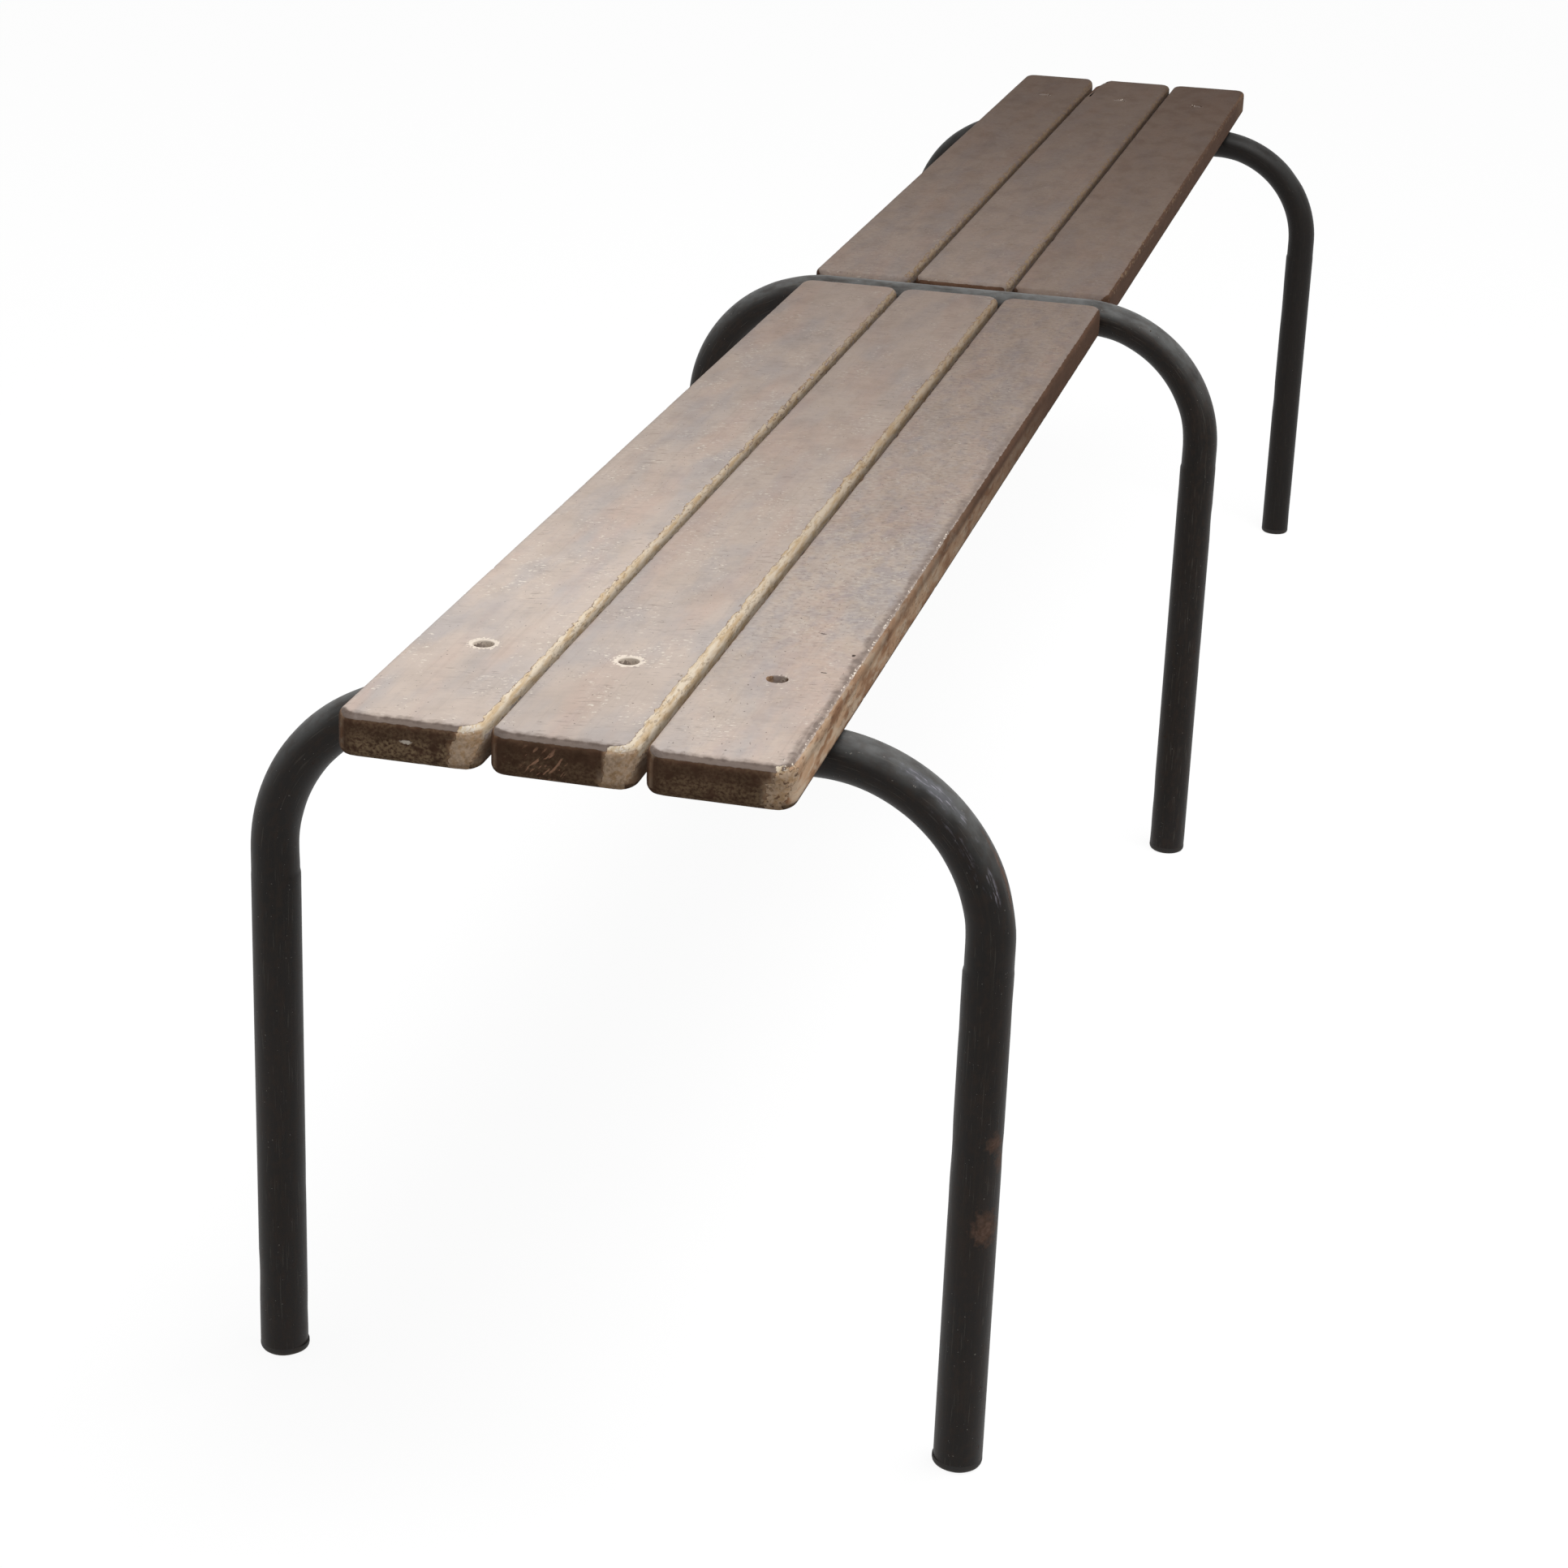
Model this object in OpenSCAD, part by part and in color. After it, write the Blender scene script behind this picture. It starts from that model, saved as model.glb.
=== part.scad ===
// School bench: six wooden slats in two sections, on three hoops of bent steel tube.
// X runs along the bench, -Y is its front, and Z is up. The origin lies on the floor
// below the middle hoop. All sizes are in millimetres.

/* [Seat] */
// Length of the whole seat, over both sections
bench_len = 2000; // [1700:10:2300]
// Height of the slats' top face above the floor
seat_h = 441; // [400:1:480]
// Width of one slat
slat_w = 75; // [66:0.5:86]
// Thickness of one slat
slat_t = 23; // [20:0.5:26]
// Gap between two neighbouring slats
slat_gap = 3.5; // [2:0.5:8]
// Corner radius of a slat, seen from above
slat_corner_r = 12.5; // [8:0.5:18]
// Rounding of all the long and short edges of a slat
slat_edge_r = 4; // [2:0.5:6]
// Gap between a slat's inner end and the middle hoop
slat_end_gap = 1; // [0.5:0.5:4]
// Extra gap at the inner end of the right middle slat, which is cut a little short
short_slat_gap = 4; // [0:0.5:8]

/* [Hoops] */
// Outer diameter of the steel tube
tube_d = 27; // [25:0.5:30]
// Wall of the steel tube
tube_wall = 2.3; // [1.6:0.1:3]
// Distance between the centre lines of a hoop's two legs
leg_spread = 392; // [350:2:440]
// Bend radius of the hoops, on the centre line of the tube
bend_r = 95; // [80:1:105]
// Distance from an end hoop's centre line to the end of the seat
end_overhang = 118; // [80:1:160]
// Height of the middle hoop's top above the slats' top face
middle_proud = 0; // [0:0.5:3]

/* [Ledgers] */
// Width of the flat bars that carry the slats' inner ends
ledger_w = 40; // [34:1:50]
// Thickness of those flat bars
ledger_t = 5; // [4:0.5:8]
// Distance from the middle hoop's centre line to a bar's inner edge
ledger_in = 5; // [4:0.5:7]
// Distance from the seat's long side to the end of a flat bar
ledger_inset = 12; // [8:1:20]

/* [Feet] */
// Height of a foot plug's head, below the end of the tube
foot_h = 5; // [4:0.5:8]
// How far the head of a foot plug stands out beyond the tube
foot_lip = 0.4; // [0:0.1:1]
// Rounding of a foot plug's lower edge
foot_edge_r = 2.5; // [1:0.5:3.5]
// Length of the plug's stem inside the tube
foot_stem = 24; // [15:1:40]
// Wall of the plug's hollow stem
foot_wall = 2.5; // [2:0.5:4]

/* [Bolts] */
// Thread diameter of the bolts through the slats and the end hoops
bolt_d = 6; // [5:1:8]
// Diameter of the bolt heads
head_d = 10; // [9.5:0.5:14]
// Height of the bolt heads
head_h = 4; // [3:0.5:5]
// Width across flats of the socket in a bolt head
socket_af = 4; // [3:0.5:5]
// Depth of that socket
socket_depth = 2.4; // [1.5:0.1:2.5]
// Depth of the recess that hides a bolt head in the slat
recess_depth = 9; // [6:0.5:12]
// Outer diameter of the washers under the end hoops
washer_d = 14; // [13.5:0.5:18]
// Thickness of those washers
washer_t = 1.6; // [1:0.1:2.5]
// Width across flats of the nuts
nut_af = 10; // [9:0.5:13]
// Height of the nuts
nut_h = 5; // [4:0.5:7]
// How far a bolt's end stands out below its nut
bolt_out = 2.5; // [1:0.5:6]

/* [Ledger screws] */
// Diameter of the wood screws that come up through the flat bars
screw_d = 5; // [4:0.5:6]
// Diameter of a screw's head
screw_head_d = 9.5; // [8.5:0.5:12]
// Height of a screw's head
screw_head_h = 3; // [2:0.5:4]
// How deep a screw goes into the slat
screw_bite = 15; // [10:0.5:17]
// Length of a screw's point
screw_point = 4; // [2:0.5:6]

/* [Clearances] */
// Play round a bolt, in the slat and in the tube
bolt_play = 0.25; // [0.1:0.05:0.5]
// Play round a bolt head, in its recess
head_play = 0.5; // [0.3:0.1:1]
// Play round a screw and in a threaded hole, where the pieces only touch
thread_play = 0.05; // [0.02:0.01:0.1]
// Play between a plug's stem and the inside of the tube
stem_play = 0.05; // [0.02:0.01:0.2]

/* [Hidden] */
$fn = 64;
black_paint = "#2c2a29";
taupe_paint = "#b3a498";
black_plastic = "#1f1d1b";
zinc = "#8d8c88";

tube_r = tube_d / 2;
bore_r = tube_r - tube_wall;
hoop_x = bench_len / 2 - end_overhang;
slat_pitch = slat_w + slat_gap;
seat_w = 3 * slat_w + 2 * slat_gap;
slat_low = seat_h - slat_t;
inner_x = tube_r + slat_end_gap;
end_hoop_z = slat_low - tube_r;
middle_hoop_z = seat_h + middle_proud - tube_r;
recess_z = seat_h - recess_depth;
washer_z = end_hoop_z - tube_r - washer_t;
nut_z = washer_z - nut_h;
bolt_low = nut_z - bolt_out;
screw_x = inner_x + (ledger_in + ledger_w - inner_x) / 2;
// A cut runs past the face it opens by this much
past = 1;

// A rod bent into an upside-down U, with its legs' lower ends at low and its top run at top
module bent_rod(r, top, low) {
    for (side = [0, 1])
        mirror([0, side, 0]) {
            translate([0, leg_spread / 2, low])
                cylinder(h = top - bend_r - low, r = r);
            translate([0, leg_spread / 2 - bend_r, top - bend_r])
                rotate([90, 0, 90])
                    rotate_extrude(angle = 90)
                        translate([bend_r, 0])
                            circle(r = r);
        }
    translate([0, bend_r - leg_spread / 2, top])
        rotate([-90, 0, 0])
            cylinder(h = leg_spread - 2 * bend_r, r = r);
}

// One hoop: a bent tube, with holes across its top run where drilled is true
module hoop(top, drilled) {
    color(black_paint)
        difference() {
            bent_rod(tube_r, top, foot_h);
            bent_rod(bore_r, top, foot_h);
            for (side = [-1, 1])
                translate([0, side * leg_spread / 2, foot_h - past])
                    cylinder(h = 2 * past, r = bore_r);
            if (drilled)
                for (row = [-1 : 1])
                    translate([0, row * slat_pitch, top - tube_r - past])
                        cylinder(h = tube_d + 2 * past, r = bolt_d / 2 + bolt_play);
        }
}

// The outline of a board's cut face: a rectangle with four rounded corners
module board_section(across) {
    square([across - 2 * slat_edge_r, slat_t], center = true);
    square([across, slat_t - 2 * slat_edge_r], center = true);
    for (i = [-1, 1], j = [-1, 1])
        translate([i * (across / 2 - slat_edge_r), j * (slat_t / 2 - slat_edge_r)])
            circle(r = slat_edge_r, $fn = 32);
}

// A board with round corners and rounded edges, centred on the origin
module board(along) {
    rotate([90, 0, 90])
        linear_extrude(along - 2 * slat_corner_r, center = true)
            board_section(slat_w);
    rotate([90, 0, 0])
        linear_extrude(slat_w - 2 * slat_corner_r, center = true)
            board_section(along);
    for (i = [-1, 1], j = [-1, 1])
        translate([i * (along / 2 - slat_corner_r), j * (slat_w / 2 - slat_corner_r), 0])
            rotate_extrude()
                intersection() {
                    board_section(2 * slat_corner_r);
                    translate([0, -slat_t / 2])
                        square([slat_corner_r, slat_t]);
                }
}

// One slat of the right section. It is bolted at the end hoop and screwed at its inner end.
module slat(row, extra_gap) {
    low_x = inner_x + extra_gap;
    high_x = bench_len / 2;
    color(taupe_paint)
        difference() {
            translate([(low_x + high_x) / 2, row * slat_pitch, seat_h - slat_t / 2])
                board(high_x - low_x);
            translate([hoop_x, row * slat_pitch, slat_low - past])
                cylinder(h = slat_t, r = bolt_d / 2 + bolt_play);
            translate([hoop_x, row * slat_pitch, recess_z])
                cylinder(h = recess_depth + past, r = head_d / 2 + head_play);
            translate([screw_x, row * slat_pitch, slat_low])
                screw_body(screw_d / 2 + thread_play, past);
        }
}

// The shank of a wood screw, from below its head's seat up to its point
module screw_body(r, below) {
    translate([0, 0, -below])
        cylinder(h = below + screw_bite - screw_point, r = r);
    translate([0, 0, screw_bite - screw_point])
        cylinder(h = screw_point, r1 = r, r2 = 0.5);
}

// One flat bar beside the middle hoop, shaped to the tube where it is welded to it
module ledger() {
    color(black_paint)
        difference() {
            translate([ledger_in, ledger_inset - seat_w / 2, slat_low - ledger_t])
                cube([ledger_w, seat_w - 2 * ledger_inset, ledger_t]);
            bent_rod(tube_r, middle_hoop_z, foot_h);
            for (row = [-1 : 1])
                translate([screw_x, row * slat_pitch, slat_low - ledger_t - past])
                    cylinder(h = ledger_t + 2 * past, r = screw_d / 2 + bolt_play);
        }
}

// The three wood screws that hold the slats' inner ends down on one flat bar
module ledger_screws() {
    color(zinc)
        for (row = [-1 : 1])
            translate([screw_x, row * slat_pitch, slat_low]) {
                screw_body(screw_d / 2, ledger_t);
                translate([0, 0, -ledger_t - screw_head_h])
                    rotate_extrude()
                        screw_head_outline();
            }
}

// Half the outline of a round screw head: a thin flat rim, under a dome that points down
module screw_head_outline() {
    head_r = screw_head_d / 2;
    dome_r = (head_r * head_r + screw_head_h * screw_head_h) / (2 * screw_head_h);
    intersection() {
        translate([0, dome_r])
            circle(r = dome_r);
        square([head_r, screw_head_h]);
    }
}

// One foot plug: a round head below the tube's end, and a hollow stem inside the tube
module foot(side) {
    head_r = tube_r + foot_lip;
    stem_r = bore_r - stem_play;
    color(black_plastic)
        translate([0, side * leg_spread / 2, 0])
            rotate_extrude()
                difference() {
                    union() {
                        square([head_r - foot_edge_r, foot_h]);
                        translate([0, foot_edge_r])
                            square([head_r, foot_h - foot_edge_r]);
                        intersection() {
                            translate([head_r - foot_edge_r, foot_edge_r])
                                circle(r = foot_edge_r);
                            square([head_r, foot_h]);
                        }
                        square([stem_r, foot_h + foot_stem]);
                    }
                    translate([0, foot_h])
                        square([stem_r - foot_wall, foot_stem + past]);
                }
}

// The three bolts of one end hoop, with their heads sunk in the slats
module bolts() {
    color(zinc)
        for (row = [-1 : 1])
            translate([hoop_x, row * slat_pitch, 0])
                difference() {
                    union() {
                        translate([0, 0, bolt_low])
                            cylinder(h = recess_z - bolt_low, r = bolt_d / 2);
                        translate([0, 0, recess_z])
                            cylinder(h = head_h, r = head_d / 2);
                    }
                    translate([0, 0, recess_z + head_h - socket_depth])
                        cylinder(h = socket_depth + past, r = socket_af / sqrt(3), $fn = 6);
                }
}

// The three washers under one end hoop
module washers() {
    color(zinc)
        for (row = [-1 : 1])
            translate([hoop_x, row * slat_pitch, washer_z])
                difference() {
                    cylinder(h = washer_t, r = washer_d / 2);
                    translate([0, 0, -past])
                        cylinder(h = washer_t + 2 * past, r = bolt_d / 2 + bolt_play);
                }
}

// The three hexagon nuts under one end hoop
module nuts() {
    color(zinc)
        for (row = [-1 : 1])
            translate([hoop_x, row * slat_pitch, nut_z])
                difference() {
                    cylinder(h = nut_h, r = nut_af / sqrt(3), $fn = 6);
                    translate([0, 0, -past])
                        cylinder(h = nut_h + 2 * past, r = bolt_d / 2 + thread_play);
                }
}

// The left half of the bench mirrors the right half
module left() {
    mirror([1, 0, 0])
        children();
}

module left_hoop() {
    translate([-hoop_x, 0, 0])
        hoop(end_hoop_z, true);
}

module middle_hoop() {
    hoop(middle_hoop_z, false);
}

module right_hoop() {
    translate([hoop_x, 0, 0])
        hoop(end_hoop_z, true);
}

left_hoop();
middle_hoop();
right_hoop();
left() slat(-1, 0);  // left_front_slat
left() slat(0, 0);  // left_middle_slat
left() slat(1, 0);  // left_rear_slat
slat(-1, 0);  // right_front_slat
slat(0, short_slat_gap);  // right_middle_slat
slat(1, 0);  // right_rear_slat
left() ledger();  // left_ledger
ledger();  // right_ledger
translate([-hoop_x, 0, 0]) foot(-1);  // left_front_foot
translate([-hoop_x, 0, 0]) foot(1);  // left_rear_foot
foot(-1);  // middle_front_foot
foot(1);  // middle_rear_foot
translate([hoop_x, 0, 0]) foot(-1);  // right_front_foot
translate([hoop_x, 0, 0]) foot(1);  // right_rear_foot
left() bolts();  // left_bolts
bolts();  // right_bolts
left() washers();  // left_washers
washers();  // right_washers
left() nuts();  // left_nuts
nuts();  // right_nuts
left() ledger_screws();  // left_ledger_screws
ledger_screws();  // right_ledger_screws
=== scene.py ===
# %% [markdown]
# # A worn school bench
# The bench has six painted wooden slats on three hoops of bent steel tube. Its construction comes in
# at real size as a fixed frame. This lesson gives each piece the life that a plain solid lacks: edges
# rounded by years of use, bends gone slightly oval, threads, welds, and paint worn through to the wood.

# %% The frame
import math

import bmesh
import bpy
from mathutils import Matrix, Vector, noise


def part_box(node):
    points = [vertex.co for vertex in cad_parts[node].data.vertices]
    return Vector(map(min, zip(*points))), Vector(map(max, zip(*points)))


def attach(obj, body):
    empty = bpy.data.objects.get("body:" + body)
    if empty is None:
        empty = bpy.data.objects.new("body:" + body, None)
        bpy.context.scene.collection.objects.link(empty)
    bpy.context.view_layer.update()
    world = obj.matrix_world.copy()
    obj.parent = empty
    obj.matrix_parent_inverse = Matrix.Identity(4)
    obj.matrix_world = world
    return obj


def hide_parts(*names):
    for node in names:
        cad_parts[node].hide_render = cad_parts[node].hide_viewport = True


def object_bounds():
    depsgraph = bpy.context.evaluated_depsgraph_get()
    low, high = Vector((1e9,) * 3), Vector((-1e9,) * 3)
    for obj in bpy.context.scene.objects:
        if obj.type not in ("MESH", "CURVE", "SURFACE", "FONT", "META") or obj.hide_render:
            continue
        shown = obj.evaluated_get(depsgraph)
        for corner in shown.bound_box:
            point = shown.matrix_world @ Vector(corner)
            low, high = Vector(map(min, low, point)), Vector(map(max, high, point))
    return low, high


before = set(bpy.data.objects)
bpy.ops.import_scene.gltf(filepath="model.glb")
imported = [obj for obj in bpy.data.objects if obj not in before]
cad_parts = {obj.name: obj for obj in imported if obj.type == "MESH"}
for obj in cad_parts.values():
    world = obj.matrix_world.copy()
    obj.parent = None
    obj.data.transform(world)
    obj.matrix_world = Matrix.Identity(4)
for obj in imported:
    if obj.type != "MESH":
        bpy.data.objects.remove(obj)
cad_low, cad_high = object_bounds()
frame_size = [round(side, 3) for side in cad_high - cad_low]
print("The frame has", len(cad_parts), "nodes and is", frame_size, "m")

# %% [markdown]
# ## Sizes
# Most sizes are read from the frame's own boxes, so the pieces fit whatever the frame says. All places
# are in metres, and a size given in millimetres is written as a number times mm.

# %% Sizes read from the frame
mm = 0.001
seat_top = cad_high.z
tube_low, tube_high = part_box("middle_hoop")
tube_r = (tube_high.x - tube_low.x) / 2
leg_y = tube_high.y - tube_r
middle_z = tube_high.z - tube_r
hoop_x = sum(corner.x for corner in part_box("right_hoop")) / 2
row_pitch = sum(corner.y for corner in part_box("right_rear_slat")) / 2
screw_x = sum(corner.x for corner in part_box("right_ledger_screws")) / 2
rows = (-1, 0, 1)
sections = ((-1, "left"), (1, "right"))
print("tube radius", round(tube_r / mm, 2), "mm, legs", round(leg_y * 2 / mm, 1), "mm apart")

# %% [markdown]
# ## Two helpers for materials
# A colour is written as the hex code that an editor shows, and turned to the linear values that the
# renderer works in. One function adds a node with its settings and links, which keeps a finish short
# enough to read like a recipe.

# %% Colours and nodes
def linear(code):
    """An sRGB hex colour as linear red, green and blue, and an alpha of 1."""
    shares = [int(code[i : i + 2], 16) / 255 for i in (1, 3, 5)]
    return [s / 12.92 if s <= 0.04045 else ((s + 0.055) / 1.055) ** 2.4 for s in shares] + [1.0]


def add(owner, kind, inputs=None, **settings):
    """Adds a node. An input is a value, a hex colour, or the socket that it is linked to."""
    made = owner.node_tree.nodes.new(kind)
    for name, value in settings.items():
        setattr(made, name, value)
    for socket, value in (inputs or {}).items():
        if isinstance(value, bpy.types.NodeSocket):
            owner.node_tree.links.new(value, made.inputs[socket])
        else:
            made.inputs[socket].default_value = linear(value) if isinstance(value, str) else value
    return made


def emptied(owner):
    """A material or a world, without its first nodes."""
    owner.use_nodes = True
    owner.node_tree.nodes.clear()
    return owner


# %% [markdown]
# Wear comes in patches, and a patch is a noise cut off at two levels: below the first it is clean, above
# the second it is fully worn, and between them lies the soft edge. The size of the noise is given in
# millimetres along each axis, so a long thin size makes grain and a round one makes blotches. A turn
# lays the pattern askew, and another mask can hold it within an area. A blot is one patch at a chosen
# place, with an edge that a noise has torn.

# %% Patches of noise
tear_reach = 0.8


def patches(owner, place, size, low, high, detail, turn=(0, 0, 0), within=None):
    """A mask from 0 to 1, made of noise whose blotches are size millimetres wide along X, Y and Z."""
    sizes = {"Vector": place, "Scale": [s * mm for s in size], "Rotation": turn}
    scaled = add(owner, "ShaderNodeMapping", sizes, vector_type="TEXTURE")
    settings = {"Vector": scaled.outputs[0], "Scale": 1.0, "Detail": detail}
    cloud = add(owner, "ShaderNodeTexNoise", settings)
    levels = {"Value": cloud.outputs[0], "From Min": low, "From Max": high}
    mask = add(owner, "ShaderNodeMapRange", levels).outputs[0]
    if within is not None:
        mask = add(owner, "ShaderNodeMath", {0: mask, 1: within}, operation="MULTIPLY").outputs[0]
    return mask


def blot(owner, place, centre, half, tear, soft=0.4):
    """A mask round one place in metres, with half sizes in millimetres and an edge torn by a noise."""
    offset = add(owner, "ShaderNodeVectorMath", {0: place, 1: centre}, operation="SUBTRACT").outputs[0]
    sizes = [h * mm for h in half]
    shares = add(owner, "ShaderNodeVectorMath", {0: offset, 1: sizes}, operation="DIVIDE").outputs[0]
    reach = add(owner, "ShaderNodeVectorMath", {0: shares}, operation="LENGTH").outputs["Value"]
    torn_reach = {0: tear, 1: tear_reach, 2: reach}
    edge = add(owner, "ShaderNodeMath", torn_reach, operation="MULTIPLY_ADD").outputs[0]
    outline = 1 + tear_reach / 2
    levels = {"Value": edge, "From Min": outline, "From Max": outline - soft}
    return add(owner, "ShaderNodeMapRange", levels).outputs[0]


# %% [markdown]
# Most finishes here are coats, one over the other: bare metal or wood, then ground, then paint, then
# dust and scratches. Each coat has a mask, the share that shows where the mask is full, a colour, a
# roughness, and a relief in millimetres. Colour and roughness are mixed over what lies below, and the
# reliefs add up to the bump. Where a coat is itself cloudy, its colour is mixed first, without the rest.

# %% Coats
def mixed(owner, colour, layers):
    """Lays colours over a colour. Each has a mask, and the share that shows where the mask is full."""
    for mask, share, layer_colour in layers:
        part = add(owner, "ShaderNodeMath", {0: mask, 1: share}, operation="MULTIPLY").outputs[0]
        colours = {0: part, 6: colour, 7: layer_colour}
        colour = add(owner, "ShaderNodeMix", colours, data_type="RGBA").outputs[2]
    return colour


def coats_over(owner, base, coats):
    """Lays coats over a base, which is a colour, a roughness and a relief, and gives the same three."""
    colour, roughness, relief = base
    for mask, share, coat_colour, coat_roughness, coat_relief in coats:
        part = add(owner, "ShaderNodeMath", {0: mask, 1: share}, operation="MULTIPLY").outputs[0]
        colours = {0: part, 6: colour, 7: coat_colour}
        colour = add(owner, "ShaderNodeMix", colours, data_type="RGBA").outputs[2]
        roughness = add(owner, "ShaderNodeMix", {0: part, 2: roughness, 3: coat_roughness}).outputs[0]
        if coat_relief:
            sums = {0: part, 1: coat_relief, 2: relief}
            relief = add(owner, "ShaderNodeMath", sums, operation="MULTIPLY_ADD").outputs[0]
    return colour, roughness, relief


def shaded(owner, finished, **shader_values):
    """Joins a colour, a roughness and a relief to the shader. Even values go straight to its sockets."""
    colour, roughness, relief = finished
    bump = add(owner, "ShaderNodeBump", {"Height": relief, "Distance": mm, "Strength": 1.0})
    inputs = {"Base Color": colour, "Roughness": roughness, "Normal": bump.outputs[0]}
    values = {name.replace("_", " "): value for name, value in shader_values.items()}
    shader = add(owner, "ShaderNodeBsdfPrincipled", {**inputs, **values})
    add(owner, "ShaderNodeOutputMaterial", {0: shader.outputs[0]})
    print(owner.name, "has", len(owner.node_tree.nodes), "nodes")


# %% [markdown]
# ## From a mesh to a piece
# Every piece ends the same way: close points are merged, faces are turned outwards, round stretches are
# shaded smooth and corners stay sharp. The piece then rides on the bench's one body, takes its finish,
# and stands for the frame's own plain node.

# %% Finishing a piece
merge_gap = 0.02 * mm
sharp_angle = math.radians(38)


def whole(bm):
    """All the elements of a mesh, as the operators want them."""
    return bm.verts[:] + bm.edges[:] + bm.faces[:]


def only(kind, found):
    """The elements of one kind among those that an operator gives back."""
    return [element for element in found if isinstance(element, kind)]


def placed(name, data):
    """A new object in the scene."""
    made = bpy.data.objects.new(name, data)
    bpy.context.scene.collection.objects.link(made)
    return made


def piece(name, bm, finish, slot, *nodes):
    """Makes a finished piece of the bench from a mesh, in place of the nodes that it stands for."""
    bmesh.ops.remove_doubles(bm, verts=bm.verts, dist=merge_gap)
    bmesh.ops.recalc_face_normals(bm, faces=bm.faces)
    for face in bm.faces:
        face.smooth = True
    for edge in bm.edges:
        edge.smooth = edge.calc_face_angle(0.0) < sharp_angle
    mesh = bpy.data.meshes.new(name)
    bm.to_mesh(mesh)
    bm.free()
    mesh.materials.append(finish)
    made = placed(name, mesh)
    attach(made, "root")
    if nodes:
        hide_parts(*nodes)
    print(name, "has", len(mesh.polygons), "faces")


# %% [markdown]
# ## The slats' finish
# Real finish: satin furniture paint, brushed over a brown ground coat on pine. Paint brushed on gives an
# even, soft sheen. Where it has worn, first the brown ground shows and then the straw-coloured wood, so
# a chip often has a brown outline. The paint is palest at the left end and browns towards the right end;
# this is partly real browning and partly a painted fall-off of light and sheen along the bench.
#
# The masks are worked out on the mesh, where it is easy to say "near the front edge" or "on the end
# face". Each slat also carries its own place, shifted by a different amount, so no two slats share a
# pattern. The shader then tears the edges of the masks with noise.

# %% Paint on pine: where the coats are
paint = emptied(bpy.data.materials.new("brushed_satin_paint_on_pine"))
place = add(paint, "ShaderNodeAttribute", attribute_name="board_place").outputs["Vector"]
mask_names = ("bare", "brown", "shade", "fade", "ring", "flaky", "scored", "rim", "line", "crackled")
bare, brown, shade, fade, ring, flaky, scored, rim, line, crackled = [
    add(paint, "ShaderNodeAttribute", attribute_name=mask).outputs["Fac"] for mask in mask_names
]


def torn(mask, tear, low, high, reach=0.5):
    """A mask from the mesh, with its edge torn by a noise and cut to a narrow step."""
    moved = add(paint, "ShaderNodeMath", {0: tear, 1: reach, 2: mask}, operation="MULTIPLY_ADD")
    step = {"Value": moved.outputs[0], "From Min": low, "From Max": high}
    return add(paint, "ShaderNodeMapRange", step).outputs[0]


long_tear = patches(paint, place, (9, 2.6, 2.6), 0.25, 0.75, 6.0)
fine_tear = patches(paint, place, (2.2, 1.3, 1.3), 0.25, 0.75, 5.0)
flake_tear = patches(paint, place, (5, 4, 3.2), 0.25, 0.75, 6.0)
soft_tear = patches(paint, place, (28, 7, 7), 0.3, 0.7, 4.0)
worn_through = add(paint, "ShaderNodeMath", {0: long_tear, 1: 0.5, 2: bare}, operation="MULTIPLY_ADD")
paint_gone = torn(bare, long_tear, 0.70, 0.76)
ground_gone = torn(worn_through.outputs[0], fine_tear, 0.80, 0.87, 0.14)
brown_faces = torn(brown, flake_tear, 0.70, 0.90)
rim_worn = torn(rim, flake_tear, 0.45, 1.0)
line_worn = torn(line, flake_tear, 0.60, 1.1, 0.7)
pale_flakes_and_painted_light = torn(ring, fine_tear, 0.98, 1.08, 0.9)
mottle_area = patches(paint, place, (9, 7, 5), 0.35, 0.51, 6.0)
mottle = patches(paint, place, (2.0, 1.8, 1.5), 0.36, 0.60, 6.0, within=mottle_area)
mottled_end, mottled_brown = [
    add(paint, "ShaderNodeMath", {0: mottle, 1: area}, operation="MULTIPLY").outputs[0]
    for area in (flaky, brown)
]
knock_turn = (-0.85, 0, 0)
knocked = patches(paint, place, (6, 6, 1.5), 0.57, 0.63, 3.0, knock_turn, scored)

# %% [markdown]
# The wood under the paint is pine: cream to straw, with fine grain along the board, darker where hands
# have rubbed dirt into it and where scabs of the ground coat cling on. Towards the right end it browns,
# partly from dirt and partly as a painted fall-off of light. The ground coat itself is a rusty brown
# near the left end and almost black-brown elsewhere.

# %% Paint on pine: the wood and the ground
grain = patches(paint, place, (60, 1.3, 1.3), 0.35, 0.65, 3.0)
cream_area = patches(paint, place, (18, 2.6, 2.6), 0.38, 0.56, 6.0)
scabs = patches(paint, place, (8, 2.2, 2.2), 0.62, 0.67, 5.0)
fleck_area = patches(paint, place, (60, 12, 12), 0.40, 0.55, 2.0)
flecks = patches(paint, place, (5.0, 1.3, 1.3), 0.56, 0.62, 3.0, within=fleck_area)
wood = mixed(
    paint,
    "#e2caa6",
    [
        (grain, 0.30, "#b8966f"),
        (cream_area, 0.80, "#f8ecd8"),
        (scabs, 0.40, "#866a50"),
        (flecks, 0.42, "#6b563f"),
        (brown, 0.42, "#e8b286"),
        (mottled_brown, 0.42, "#7d6044"),
        (shade, 0.42, "#86694b"),
        # Browner towards the right end: partly dirt, partly a painted fall-off of light.
        (fade, 1.0, "#533d28"),
    ],
)
stains = patches(paint, place, (30, 8, 8), 0.48, 0.60, 6.0)
tan_areas = patches(paint, place, (20, 6, 6), 0.50, 0.60, 6.0)
rusty_ground = mixed(
    paint,
    "#dfb38e",
    [
        (soft_tear, 0.60, "#eed2b2"),
        (stains, 0.75, "#9f6f4c"),
        (tan_areas, 0.60, "#f8e2c6"),
        (flecks, 0.40, "#5d4637"),
    ],
)
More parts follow.
